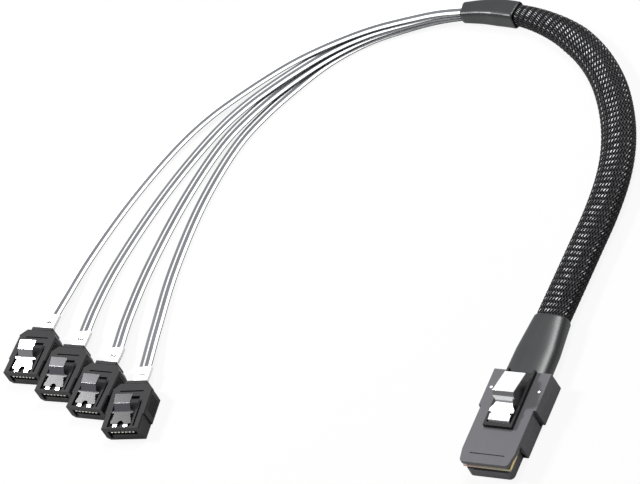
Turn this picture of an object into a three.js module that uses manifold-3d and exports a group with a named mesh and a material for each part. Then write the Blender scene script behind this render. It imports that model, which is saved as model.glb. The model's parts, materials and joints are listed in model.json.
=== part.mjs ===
// A data breakout cable: a wide latching plug, a braided trunk and four flat ribbons, each ending in
// a small latching connector. Millimetres, +Z up. The origin is on the wide plug's underside, on its
// centre line, below the shoulder where the nose meets the body. The nose points along -Y, and the
// whole cable lies flat on the plane z = 0.

import * as THREE from 'three';
import { mergeVertices } from 'three/addons/utils/BufferGeometryUtils.js';
import Module from 'manifold-3d';

// Clearances
const GAP = 0.3;
const FINE_GAP = 0.2;
const PIN_PLAY = 0.15;

// How far a cutting tool passes the face it opens
const OVER = 1;

// Wide plug: shells
const PLUG_HEIGHT = 7.2;
const SEAM_HEIGHT = 3.6;
const SHELL_WALL = 0.7;
const NOSE_LENGTH = 8;
const NOSE_WIDTH = 16.4;
const NOSE_TAPER = 4.4;
const NOSE_PLATE = 1.3;
const NOSE_CORNER = 1.2;
const LIP_WIDTH = 14.9;
const LIP_HEIGHT = 3.4;
const LIP_CORNER = 1.5;
const BODY_WIDTH = 18.8;
const BODY_LENGTH = 12;
const BLOCK_WIDTH = 20.4;
const BLOCK_LENGTH = 13.4;
const SIDE_DRAFT = 0.6;
const FOOT_CHAMFER = 0.4;
const NOTCH = 1.2;
const SCORE_WIDTH = 11.5;
const SCORE_LINE = 0.35;
const SCORE_SETBACK = 3.1;

// Wide plug: paddle card and its contact pads
const CARD_WIDTH = 15.6;
const CARD_THICKNESS = 1;
const CARD_SETBACK = 0.3;
const CARD_BEVEL = 0.3;
const CARD_REAR = 9.6;
const CARD_LEDGE = 1;
const PAD_COUNT = 18;
const PAD_PITCH = 0.8;
const PAD_WIDTH = 0.5;
const PAD_LENGTH = 5;
const PAD_RELIEF = 0.1;
const PAD_SETBACK = 0.5;

// Wide plug: wire block and pins
const WIRE_BLOCK_LENGTH = 6;
const PIN_RADIUS = 0.55;
const PIN_INSET = 2.2;
const PIN_SETBACK = 6.7;
const PIN_ROOT = 1.4;
const PIN_DOME = 0.2;
const PIN_SIDES = 16;
const PIN_WALL = 0.25;

// Wide plug: latch frame and latch
const FRAME_WIDTH = 9.6;
const FRAME_RAIL = 0.8;
const FRAME_HEIGHT = 1.26;
const FRAME_START = 4.6;
const FRAME_BAR = 1.2;
const WELL_DEPTH = 0.5;
const LATCH_SHEET = 0.35;
const LATCH_WIDTH = 7;
const LATCH_WINGS = 8.2;
const LATCH_WAIST = 5.8;
const LATCH_PLATE = 5.9;
const LATCH_PLATE_RISE = 1.6;
const LATCH_PLATE_SLOPE = 0.85;
const LATCH_FOLD_RISE = 4;
const LATCH_FOLD_RUN = 1.7;
const LATCH_PAD = 8.4;
const LATCH_PAD_DROP = 2.2;

// The plug latch's wings: the notch ahead of each, and their outline's stations from the plate's middle
const WING_NOTCH = 0.5;
const WING_STATIONS = { notch: -1.1, floor: -0.9, rise: -0.6, front: -0.4, rear: 0.6, root: 1.7 };
const FOLD_STEP = 0.3;

// Drive connectors
const LANES = 4;
const DRIVE_WIDTH = 14.4;
const DRIVE_NOSE_WIDTH = 13.6;
const DRIVE_NOSE_LENGTH = 5.5;
const DRIVE_HEIGHT = 6;
const DRIVE_LENGTH = 17.1;
const SHOULDER_START = 14.7;
const SHOULDER_WIDTH = 10;
const DRIVE_CHAMFER = 0.5;
const KEY_CORNER = 1.4;
const SLOT_WIDTH = 10.4;
const SLOT_FLOOR = 2.6;
const SLOT_HEIGHT = 1.6;
const SLOT_DEPTH = 6.2;
const KEY_WIDTH = 1.1;
const KEY_DROP = 1.5;
const CHAMBER_WIDTH = 10.6;
const CHAMBER_FLOOR = 1.5;
const CHAMBER_HEIGHT = 3;
const CONTACT_COUNT = 7;
const CONTACT_PITCH = 1.27;
const CONTACT_WIDTH = 0.7;
const CONTACT_THICKNESS = 0.45;
const CONTACT_SETBACK = 0.1;
const CONTACT_BAR = 2.6;
const RECESS_WIDTH = 8.4;
const RECESS_OFFSET = -0.6;
const RECESS_DEPTH = 1.1;
const RECESS_START = 0.5;
const RECESS_END = 12.2;
const LEG_POCKET_LENGTH = 2.6;
const LEG_POCKET_DEPTH = 0.25;
const CHANNEL_WIDTH = 0.6;
const CHANNEL_WALL = 0.7;
const CHANNEL_LENGTH = 9.6;
const DRIVE_SCORE_STATION = 13.9;
const DRIVE_SCORE_LINE = 0.5;
const RIB_COUNT = 8;
const RIB_PITCH = 0.75;
const RIB_GROOVE = 0.35;
const RIB_DEPTH = 0.25;
const RIB_START = 7.6;
const TAIL_WIDTH = 7.8;
const TAIL_LENGTH = 1.1;
const TAIL_FRONT = 9.8;
const TAIL_MARGIN = 0.3;

// Drive connector latch
const SMALL_SHEET = 0.3;
const SMALL_LEG_STATION = 0.85;
const SMALL_LEG_SPREAD = 5.3;
const SMALL_ARCH = 2.2;
const SMALL_ARCH_LENGTH = 2.2;
const SMALL_WINGS = 7.4;
const SMALL_WING_STATION = 1.15;
const SMALL_WING_RISE = 0.2;
const SMALL_WING_LENGTH = 0.7;
const SMALL_WAIST = 5.6;
const SMALL_HOOKS = 7.9;
const SMALL_HOOK_LENGTH = 0.7;
const SMALL_PLATE = 5.25;
const SMALL_PLATE_RISE = 1;
const SMALL_FOLD_RUN = 1.9;
const SMALL_FOLD_RISE = 2;
const SMALL_PAD = 3.25;
const SMALL_PAD_RISE = 0.5;
const SMALL_PAD_WIDTH = 6.5;

// Cords
const RIBBON_WIDTH = 4.4;
const RIBBON_THICKNESS = 0.8;
const RIBBON_VALLEY = 0.5;
const RIBBON_STEPS = 50;
const RIBBON_EXIT_HEIGHT = 3.2;
const STACK_PITCH = 1;
const PAIR_GAP = 0.6;
const TUBE_SIDES = 12;
const SQUARENESS = 3;
const SLEEVE_WIDTH = 10.7;
const SLEEVE_THICKNESS = 5.4;
const SLEEVE_WALL = 0.3;
const SLEEVE_STEPS = 24;
const SLEEVE_TUCK = 4;
const SLEEVE_NARROWS = 60;
const SLEEVE_HALFWAY = 0.92;
const BOOT_WIDTH = 15;
const BOOT_THICKNESS = 5.6;
const BOOT_KINK_WIDTH = 14.5;
const BOOT_WALL = 0.3;
const BOOT_SEAT = 2.5;
const BOOT_LENGTH = 24.4;
const BOOT_KINK = 12;
const BOOT_STEPS = 6;
const SHRINK_SQUARENESS = 5;
const SHRINK_WALL = 0.32;
const SHRINK_LENGTH = 20.6;
const LABEL_LENGTH = 6;
const LABEL_WALL = 0.15;
const LABEL_SETBACK = 0.7;
const LABEL_STEPS = 3;
const RIBBON_ON_CARD = 3;
const RIBBON_STRAIGHT = 5;
const TRUNK_STATIONS = 27;
const TRUNK_LEAD = 2;

// The trunk's route, from inside the wide plug's rear mouth to the point where the ribbons come out
const TRUNK_POINTS = [
  [0, 22.9, 3.6], [0, 29, 3.6], [0, 35, 3.55], [0, 47, 3.4], [0.1, 60, 3.1], [0.3, 74, 3],
  [0.5, 88, 3], [-0.4, 101, 3], [-2.3, 110.8, 3], [-5.2, 119.6, 3], [-9.6, 129, 3],
  [-15.1, 137.9, 3], [-21.7, 145.8, 3], [-28.9, 152.3, 3.05], [-37, 157.7, 3.15],
  [-45.6, 161.7, 3.25], [-54, 164.3, 3.35], [-62, 165.6, 3.43], [-70.5, 166, 3.45],
  [-79, 165.3, 3.45],
];

// Where the first connector lies across; each further one keeps its distance from the one before
const FIRST_CONNECTOR = -129.1;

// Each ribbon's route after the trunk, and where its connector lies: how far it is apart from the one
// before, where its front face is along Y, and its turn
const RUNS = [
  {
    points: [
      [-88, 163.6, 1.6], [-96.9, 160.7, 1.15], [-111.6, 153.7, 0.7], [-122.6, 144.1, 0.6],
      [-131.6, 131, 0.6], [-138, 119, 0.6], [-142, 107.5, 0.6], [-144.4, 84, 0.6],
      [-142.4, 55, 0.7], [-137.2, 30.5, 1.7],
    ],
    apart: 0,
    front: -9.9,
    turn: 8.4,
  },
  {
    points: [
      [-88, 163.8, 2.6], [-96.6, 161.2, 2.2], [-111.5, 154.5, 1.75], [-123.3, 145.1, 1.62],
      [-135.9, 129.9, 1.6], [-142.6, 118.4, 1.6], [-147.3, 106.5, 1.5], [-151.5, 83.4, 0.7],
      [-152, 54, 0.8], [-149.2, 32.5, 2.2],
    ],
    apart: 2.4,
    front: -4.1,
    turn: 1,
  },
  {
    points: [
      [-88, 164, 3.6], [-96.2, 161.5, 3.2], [-111.3, 155.4, 2.77], [-124.2, 146.4, 2.65],
      [-140.2, 128.8, 2.6], [-148.2, 117.5, 2.1], [-154, 106, 1.2], [-160.8, 82.7, 0.6],
      [-164.6, 54, 0.8], [-163.6, 36, 2.1],
    ],
    apart: 0.4,
    front: 0.8,
    turn: 2.3,
  },
  {
    points: [
      [-88, 164.2, 4.6], [-95.9, 162.2, 4.23], [-111.3, 156.7, 3.8], [-125.7, 148.2, 3.66],
      [-136.5, 140, 3.3], [-149.9, 127, 2.2], [-158.2, 117, 1.5], [-164.8, 105, 1],
      [-172.4, 81.8, 0.6], [-176.8, 57, 0.8], [-177, 40, 2.2],
    ],
    apart: 0.7,
    front: 6.1,
    turn: 2.3,
  },
];

const wasm = await Module();
wasm.setup();

// Solids and how they are joined and cut

function solidOf(geometry) {
  const plain = geometry.clone();
  plain.deleteAttribute('uv');
  plain.deleteAttribute('normal');
  const merged = mergeVertices(plain, 1e-5);
  return new wasm.Manifold(new wasm.Mesh({
    numProp: 3,
    vertProperties: new Float32Array(merged.attributes.position.array),
    triVerts: new Uint32Array(merged.index.array),
  }));
}

function geometryOf(solid) {
  const mesh = solid.getMesh();
  const geometry = new THREE.BufferGeometry();
  geometry.setAttribute('position', new THREE.BufferAttribute(mesh.vertProperties, 3));
  geometry.setIndex(new THREE.BufferAttribute(mesh.triVerts, 1));
  geometry.computeVertexNormals();
  return geometry;
}

function join(first, ...others) {
  return others.reduce((sum, solid) => sum.add(solid), first);
}

function cut(solid, ...tools) {
  return tools.reduce((rest, tool) => rest.subtract(tool), solid);
}

// A box from its two limits along each axis
function box([x0, x1], [y0, y1], [z0, z1]) {
  const geometry = new THREE.BoxGeometry(x1 - x0, y1 - y0, z1 - z0);
  geometry.translate((x0 + x1) / 2, (y0 + y1) / 2, (z0 + z1) / 2);
  return solidOf(geometry);
}

// A box that is centred across the plug
function centredBox(width, along, up) {
  return box([-width / 2, width / 2], along, up);
}

// An outline in plan, raised from one height to another
function slab(outline, [z0, z1]) {
  const geometry = new THREE.ExtrudeGeometry(outline, { depth: z1 - z0, bevelEnabled: false });
  geometry.translate(0, 0, z0);
  return solidOf(geometry);
}

// An outline seen from the side, its first value along Y and its second up, carried across X
function acrossSlab(outline, [x0, x1]) {
  const geometry = new THREE.ExtrudeGeometry(outline, { depth: x1 - x0, bevelEnabled: false });
  const turn = new THREE.Matrix4().makeBasis(
    new THREE.Vector3(0, 1, 0), new THREE.Vector3(0, 0, 1), new THREE.Vector3(1, 0, 0),
  );
  geometry.applyMatrix4(turn);
  geometry.translate(x0, 0, 0);
  return solidOf(geometry);
}

// An outline seen from the rear, its first value across and its second up, carried along Y
function alongSlab(outline, [y0, y1]) {
  const geometry = new THREE.ExtrudeGeometry(outline, { depth: y1 - y0, bevelEnabled: false });
  geometry.rotateX(Math.PI / 2);
  geometry.translate(0, y1, 0);
  return solidOf(geometry);
}

function shapeOf(points) {
  return new THREE.Shape(points.map(([a, b]) => new THREE.Vector2(a, b)));
}

// The right half of an outline, mirrored to its left side
function mirroredShape(rightHalf) {
  const left = rightHalf.map(([x, y]) => [-x, y]).reverse();
  return shapeOf([...rightHalf, ...left]);
}

// A three-cornered bar that takes the sharp edge off a box along Y; side and level are +1 or -1
function edgeCut(x, z, size, side, level, [y0, y1]) {
  const over = size / 4;
  const outline = shapeOf([
    [x - side * size, z + level * over],
    [x + side * over, z + level * over],
    [x + side * over, z - level * size],
  ]);
  return alongSlab(outline, [y0, y1]);
}

// A bent strip seen from the side: its middle line given half the sheet on either side
function stripOutline(points, sheet) {
  const middle = points.map(([y, z]) => new THREE.Vector2(y, z));
  const offset = (side) => middle.map((point, i) => {
    const before = middle[Math.max(i - 1, 0)];
    const after = middle[Math.min(i + 1, middle.length - 1)];
    const into = point.clone().sub(before).normalize();
    const out = after.clone().sub(point).normalize();
    const heading = into.clone().add(out).normalize();
    const straightness = Math.max(into.lengthSq(), out.lengthSq()) > 0
      ? heading.dot(out.lengthSq() > 0 ? out : into)
      : 1;
    const normal = new THREE.Vector2(-heading.y, heading.x);
    return point.clone().addScaledVector(normal, side * sheet / 2 / straightness);
  });
  return new THREE.Shape([...offset(-1), ...offset(1).reverse()]);
}

// Materials

function finish(color, roughness, metalness) {
  return new THREE.MeshStandardMaterial({ color, roughness, metalness });
}

const shellGrey = finish(0x56565a, 0.55, 0);
const connectorBlack = finish(0x232325, 0.5, 0);
const springSteel = finish(0xe4e5e7, 0.25, 1);
const cardGreen = finish(0xb9b06a, 0.45, 0.3);
const fillerGrey = finish(0x2e2e30, 0.6, 0);
const contactGold = finish(0xe3d9b8, 0.3, 0.8);
const shrinkBlack = finish(0x39393b, 0.45, 0);
const braidBlack = finish(0x1b1b1d, 0.65, 0);
const ribbonSilver = finish(0xd9dadc, 0.35, 0.4);
const labelWhite = finish(0xf4f4f2, 0.6, 0);

const cable = new THREE.Group();

function addPiece(parent, name, geometry, material) {
  const mesh = new THREE.Mesh(geometry, material);
  mesh.name = name;
  parent.add(mesh);
}

// Wide plug: values that several pieces share

const noseTip = -NOSE_LENGTH;
const plugRear = BODY_LENGTH + BLOCK_LENGTH;
const mouthFront = plugRear - BOOT_SEAT - GAP;
const mouthWidth = BOOT_WIDTH + 2 * GAP;
const cardFloor = SEAM_HEIGHT + GAP;
const cardTop = cardFloor + CARD_THICKNESS;
const noseGap = PLUG_HEIGHT - NOSE_PLATE;
const ceiling = PLUG_HEIGHT - SHELL_WALL;
const blockFront = CARD_REAR + GAP;
const blockRear = blockFront + GAP + WIRE_BLOCK_LENGTH;
const pinReach = BLOCK_WIDTH / 2 - PIN_INSET;
const pinStation = BODY_LENGTH + PIN_SETBACK;
const chamberWidth = 2 * (pinReach - PIN_RADIUS - PIN_PLAY - PIN_WALL);
const frameInner = FRAME_WIDTH - 2 * FRAME_RAIL;
const barRear = FRAME_START + FRAME_BAR;
const pairSpacing = RIBBON_WIDTH + PAIR_GAP;
const ribbonRise = CARD_THICKNESS / 2 + FINE_GAP + RIBBON_THICKNESS / 2;
const cardMiddle = cardFloor + CARD_THICKNESS / 2;

// The outline of the plug's nose in plan, with its two front corners rounded
function noseOutline(tipWidth, rootWidth, taper, corner, rear) {
  const half = tipWidth / 2;
  const outline = new THREE.Shape();
  outline.moveTo(-rootWidth / 2, rear);
  outline.lineTo(-rootWidth / 2, noseTip + taper);
  outline.lineTo(-half, noseTip + corner);
  outline.absarc(-half + corner, noseTip + corner, corner, Math.PI, 1.5 * Math.PI, false);
  outline.lineTo(half - corner, noseTip);
  outline.absarc(half - corner, noseTip + corner, corner, 1.5 * Math.PI, 2 * Math.PI, false);
  outline.lineTo(rootWidth / 2, noseTip + taper);
  outline.lineTo(rootWidth / 2, rear);
  return outline;
}

// The groove down each side, just ahead of the wider rear block
function sideNotches() {
  const reach = [BODY_WIDTH / 2 - NOTCH, BLOCK_WIDTH];
  const along = [BODY_LENGTH - NOTCH, BODY_LENGTH + 2 * OVER];
  const up = [SHELL_WALL, ceiling];
  return join(box(reach, along, up), box([-reach[1], -reach[0]], along, up));
}

// A centred block whose sides lean in towards the plug's top; its foot's long edges are bevelled
function draftedBlock(width, [y0, y1], [z0, z1]) {
  const half = (z) => width / 2 - (SIDE_DRAFT * z) / PLUG_HEIGHT;
  const block = alongSlab(
    shapeOf([[-half(z0), z0], [half(z0), z0], [half(z1), z1], [-half(z1), z1]]),
    [y0, y1],
  );
  const edges = [-1, 1].map((side) => (
    edgeCut(side * width / 2, 0, FOOT_CHAMFER, side, -1, [y0 - OVER, y1 + OVER])
  ));
  return cut(block, ...edges);
}

// One shell's body and its wider rear block; the body runs on inside the block
function plugBody(up) {
  const front = cut(draftedBlock(BODY_WIDTH, [0, BODY_LENGTH + OVER], up), sideNotches());
  return join(front, draftedBlock(BLOCK_WIDTH, [BODY_LENGTH, plugRear], up));
}

function pinHoles(bottom) {
  return join(...[-1, 1].map((side) => {
    const length = PLUG_HEIGHT + OVER - bottom;
    const radius = PIN_RADIUS + PIN_PLAY;
    const hole = new THREE.CylinderGeometry(radius, radius, length, PIN_SIDES);
    hole.rotateX(Math.PI / 2);
    hole.translate(side * pinReach, pinStation, bottom + length / 2);
    return solidOf(hole);
  }));
}

function upperShell() {
  const nose = slab(
    noseOutline(NOSE_WIDTH, BODY_WIDTH - 2 * SIDE_DRAFT, NOSE_TAPER, NOSE_CORNER, SHELL_WALL),
    [noseGap, PLUG_HEIGHT],
  );
  const frameTop = PLUG_HEIGHT + FRAME_HEIGHT;
  const frame = centredBox(FRAME_WIDTH, [FRAME_START, plugRear], [SEAM_HEIGHT, frameTop]);
  const well = centredBox(
    frameInner,
    [barRear, plugRear + OVER],
    [PLUG_HEIGHT - WELL_DEPTH, frameTop + OVER],
  );
  const footSlot = centredBox(
    LATCH_WIDTH + 2 * FINE_GAP,
    [FRAME_START + GAP, barRear + GAP],
    [PLUG_HEIGHT - WELL_DEPTH, PLUG_HEIGHT + FRAME_HEIGHT / 2],
  );
  const score = centredBox(
    SCORE_WIDTH,
    [noseTip + SCORE_SETBACK, noseTip + SCORE_SETBACK + SCORE_LINE],
    [PLUG_HEIGHT - SCORE_LINE, PLUG_HEIGHT + OVER],
  );
  const body = plugBody([SEAM_HEIGHT, PLUG_HEIGHT]);
  const underside = SEAM_HEIGHT - OVER;
  const cardSpace = CARD_WIDTH + 2 * GAP;
  return cut(
    join(nose, body, frame),
    centredBox(cardSpace, [-OVER, blockFront], [underside, noseGap]),
    centredBox(cardSpace, [2 * SHELL_WALL, blockFront], [underside, ceiling]),
    centredBox(chamberWidth, [blockFront - OVER, mouthFront + OVER], [underside, ceiling]),
    centredBox(mouthWidth, [mouthFront, plugRear + OVER], [underside, ceiling]),
    well, footSlot, score, pinHoles(underside),
  );
}

function lowerShell() {
  const lip = slab(
    noseOutline(LIP_WIDTH, LIP_WIDTH, NOSE_TAPER, LIP_CORNER, SHELL_WALL * 2),
    [0, LIP_HEIGHT],
  );
  const top = SEAM_HEIGHT + OVER;
  const mouthFloor = SEAM_HEIGHT - BOOT_THICKNESS / 2 - FINE_GAP;
  return cut(
    join(lip, plugBody([0, SEAM_HEIGHT])),
    centredBox(CARD_WIDTH - 2 * CARD_LEDGE, [2 * SHELL_WALL, blockFront], [SHELL_WALL, top]),
    centredBox(chamberWidth, [blockFront - OVER, mouthFront + OVER], [SHELL_WALL, top]),
    centredBox(mouthWidth, [mouthFront, plugRear + OVER], [mouthFloor, top]),
    pinHoles(PIN_ROOT - PIN_PLAY),
  );
}

function paddleCard() {
  const front = noseTip + CARD_SETBACK;
  const profile = shapeOf([
    [front, cardFloor + CARD_BEVEL], [front + CARD_BEVEL, cardFloor], [CARD_REAR, cardFloor],
    [CARD_REAR, cardTop], [front + CARD_BEVEL, cardTop], [front, cardTop - CARD_BEVEL],
  ]);
  const board = acrossSlab(profile, [-CARD_WIDTH / 2, CARD_WIDTH / 2]);
  const padStart = front + PAD_SETBACK;
  const pads = Array.from({ length: PAD_COUNT }, (unused, i) => {
    const x = (i - (PAD_COUNT - 1) / 2) * PAD_PITCH;
    return box(
      [x - PAD_WIDTH / 2, x + PAD_WIDTH / 2],
      [padStart, padStart + PAD_LENGTH],
      [cardFloor - PAD_RELIEF, cardTop + PAD_RELIEF],
    );
  });
  return join(board, ...pads);
}

function wireBlock() {
  const slots = [-1, 1].flatMap((side) => [-1, 1].map((level) => {
    const x = side * pairSpacing / 2;
    const z = cardMiddle + level * ribbonRise;
    const halfWidth = RIBBON_WIDTH / 2 + FINE_GAP;
    const halfHeight = RIBBON_THICKNESS / 2 + FINE_GAP;
    return box([x - halfWidth, x + halfWidth], [0, plugRear], [z - halfHeight, z + halfHeight]);
  }));
  const block = centredBox(
    chamberWidth - 2 * GAP,
    [blockFront, blockRear - GAP],
    [SHELL_WALL + GAP, ceiling - FINE_GAP],
  );
  return cut(block, ...slots);
}

function pin() {
  const profile = [
    [0, PIN_ROOT], [PIN_RADIUS, PIN_ROOT], [PIN_RADIUS, PLUG_HEIGHT],
    [PIN_RADIUS * 0.7, PLUG_HEIGHT + PIN_DOME * 0.7], [0, PLUG_HEIGHT + PIN_DOME],
  ];
  return new THREE.LatheGeometry(profile.map(([r, z]) => new THREE.Vector2(r, z)), PIN_SIDES);
}

// The plug's latch: a foot under the frame's front bar, a plate with two wings, a fold and a thumb pad
function plugLatch() {
  const footHeight = PLUG_HEIGHT - WELL_DEPTH + GAP + LATCH_SHEET / 2;
  const footFront = FRAME_START + 2 * GAP;
  const tip = barRear + GAP + LATCH_SHEET;
  const plateHeight = PLUG_HEIGHT + LATCH_PLATE_RISE;
  const foldFront = tip + LATCH_PLATE;
  const foldTop = foldFront + LATCH_FOLD_RUN;
  const padRear = foldTop + LATCH_PAD;
  const lift = plateHeight + LATCH_PLATE_SLOPE;
  const strip = stripOutline([
    [footFront, footHeight], [tip - LATCH_SHEET, footHeight], [tip, plateHeight],
    [foldFront, lift], [foldFront + LATCH_FOLD_RUN / 8, lift + LATCH_FOLD_RISE / 5],
    [foldTop, plateHeight + LATCH_FOLD_RISE], [padRear, plateHeight + LATCH_FOLD_RISE - LATCH_PAD_DROP],
  ], LATCH_SHEET);
  const half = LATCH_WIDTH / 2;
  const wing = tip + LATCH_PLATE / 2;
  const plan = mirroredShape([
    [half, footFront - OVER], [half, wing + WING_STATIONS.notch],
    [half - WING_NOTCH, wing + WING_STATIONS.floor], [half - WING_NOTCH, wing + WING_STATIONS.rise],
    [LATCH_WINGS / 2, wing + WING_STATIONS.front], [LATCH_WINGS / 2, wing + WING_STATIONS.rear],
    [half - WING_NOTCH / 2, wing + WING_STATIONS.root],
    [LATCH_WAIST / 2, foldFront - FOLD_STEP], [LATCH_WAIST / 2, foldFront + FOLD_STEP],
    [half, foldFront + 2 * FOLD_STEP], [half, padRear + OVER],
  ]);
  const blank = acrossSlab(strip, [-BODY_WIDTH / 2, BODY_WIDTH / 2]);
  return blank.intersect(slab(plan, [0, PLUG_HEIGHT * 3]));
}

addPiece(cable, 'plug_upper_shell', geometryOf(upperShell()), shellGrey);
addPiece(cable, 'plug_lower_shell', geometryOf(lowerShell()), shellGrey);
addPiece(cable, 'paddle_card', geometryOf(paddleCard()), cardGreen);
addPiece(cable, 'wire_block', geometryOf(wireBlock()), fillerGrey);
addPiece(cable, 'plug_latch', geometryOf(plugLatch()), springSteel);
for (const [name, side] of [['plug_pin_left', -1], ['plug_pin_right', 1]]) {
  const geometry = pin();
  geometry.rotateX(Math.PI / 2);
  geometry.translate(side * pinReach, pinStation, 0);
  addPiece(cable, name, geometry, springSteel);
}

// Drive connectors: each in its own frame, its front face at y = 0 and its underside at z = 0

const slotCeiling = SLOT_FLOOR + SLOT_HEIGHT;
const recessFloor = DRIVE_HEIGHT - RECESS_DEPTH;
const chamberCeiling = CHAMBER_FLOOR + CHAMBER_HEIGHT;
const driveRear = DRIVE_LENGTH + GAP + TAIL_LENGTH;

function driveOutline() {
  return mirroredShape([
    [DRIVE_NOSE_WIDTH / 2, 0], [DRIVE_NOSE_WIDTH / 2, DRIVE_NOSE_LENGTH],
    [DRIVE_WIDTH / 2, DRIVE_NOSE_LENGTH], [DRIVE_WIDTH / 2, SHOULDER_START],
    [SHOULDER_WIDTH / 2, DRIVE_LENGTH],
  ]);
}

function sideRibs() {
  return join(...[-1, 1].flatMap((side) => Array.from({ length: RIB_COUNT }, (unused, i) => {
    const y = RIB_START + i * RIB_PITCH;
    const inner = side * (DRIVE_WIDTH / 2 - RIB_DEPTH);
    const outer = side * DRIVE_WIDTH;
    return box(
      [Math.min(inner, outer), Math.max(inner, outer)],
      [y, y + RIB_GROOVE],
      [DRIVE_CHAMFER, DRIVE_HEIGHT - DRIVE_CHAMFER],
    );
  })));
}

// The bevels along the top of the nose and of the wider rear
function driveEdges() {
  const bevel = (width, side, along) => (
    edgeCut((side * width) / 2, DRIVE_HEIGHT, DRIVE_CHAMFER, side, 1, along)
  );
  return join(...[-1, 1].flatMap((side) => [
    bevel(DRIVE_NOSE_WIDTH, side, [-OVER, DRIVE_NOSE_LENGTH]),
    bevel(DRIVE_WIDTH, side, [DRIVE_NOSE_LENGTH, SHOULDER_START]),
  ]));
}

// The recess in the top that the latch lies in, with its leg pocket and the channel beside it
function latchRecess() {
  const above = DRIVE_HEIGHT + OVER;
  const halfWidth = RECESS_WIDTH / 2;
  const halfLegs = SMALL_LEG_SPREAD / 2 + GAP;
  const channel = RECESS_OFFSET + halfWidth + CHANNEL_WALL;
  return join(
    box(
      [RECESS_OFFSET - halfWidth, RECESS_OFFSET + halfWidth],
      [RECESS_START, RECESS_END],
      [recessFloor, above],
    ),
    box(
      [RECESS_OFFSET - halfLegs, RECESS_OFFSET + halfLegs],
      [RECESS_START, RECESS_START + LEG_POCKET_LENGTH],
      [recessFloor - LEG_POCKET_DEPTH, above],
    ),
    box(
      [channel, channel + CHANNEL_WIDTH],
      [RECESS_START + GAP, RECESS_START + CHANNEL_LENGTH],
      [recessFloor, above],
    ),
    centredBox(
      RECESS_WIDTH,
      [DRIVE_SCORE_STATION, DRIVE_SCORE_STATION + DRIVE_SCORE_LINE],
      [DRIVE_HEIGHT - DRIVE_SCORE_LINE, above],
    ),
  );
}

function driveHousing() {
  const chamber = [CHAMBER_FLOOR, chamberCeiling];
  return cut(
    slab(driveOutline(), [0, DRIVE_HEIGHT]),
    centredBox(SLOT_WIDTH, [-OVER, SLOT_DEPTH], [SLOT_FLOOR, slotCeiling]),
    box(
      [-SLOT_WIDTH / 2, KEY_WIDTH - SLOT_WIDTH / 2],
      [-OVER, SLOT_DEPTH],
      [SLOT_FLOOR - KEY_DROP, SLOT_FLOOR + SLOT_HEIGHT / 2],
    ),
    centredBox(CHAMBER_WIDTH, [SLOT_DEPTH - GAP, SHOULDER_START], chamber),
    centredBox(TAIL_WIDTH + 2 * GAP, [SHOULDER_START - OVER, DRIVE_LENGTH + OVER], chamber),
    edgeCut(-DRIVE_NOSE_WIDTH / 2, 0, KEY_CORNER, -1, -1, [-OVER, DRIVE_NOSE_LENGTH]),
    latchRecess(), sideRibs(), driveEdges(),
  );
}

// The row of contacts, in the bar that carries them behind the slot
function driveContacts() {
  const top = slotCeiling - GAP;
  const barFront = SLOT_DEPTH;
  const bar = centredBox(
    CHAMBER_WIDTH - 2 * GAP,
    [barFront, barFront + CONTACT_BAR],
    [CHAMBER_FLOOR + GAP, chamberCeiling - GAP],
  );
  const blades = Array.from({ length: CONTACT_COUNT }, (unused, i) => {
    const x = (i - (CONTACT_COUNT - 1) / 2) * CONTACT_PITCH;
    return box(
      [x - CONTACT_WIDTH / 2, x + CONTACT_WIDTH / 2],
      [CONTACT_SETBACK, barFront + CONTACT_BAR / 2],
      [top - CONTACT_THICKNESS, top],
    );
  });
  return join(bar, ...blades);
}

// The moulded tail that grips the ribbon: a block inside the housing and a collar behind it
function driveTail() {
  const halfWidth = RIBBON_WIDTH / 2 + GAP;
  const halfHeight = RIBBON_THICKNESS / 2 + GAP;
  return cut(
    join(
      centredBox(TAIL_WIDTH, [TAIL_FRONT, driveRear], [CHAMBER_FLOOR + GAP, chamberCeiling - GAP]),
      centredBox(TAIL_WIDTH, [DRIVE_LENGTH + GAP, driveRear], [TAIL_MARGIN, DRIVE_HEIGHT - TAIL_MARGIN]),
    ),
    box(
      [-halfWidth, halfWidth],
      [TAIL_FRONT - OVER, driveRear + OVER],
      [RIBBON_EXIT_HEIGHT - halfHeight, RIBBON_EXIT_HEIGHT + halfHeight],
    ),
  );
}

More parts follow.
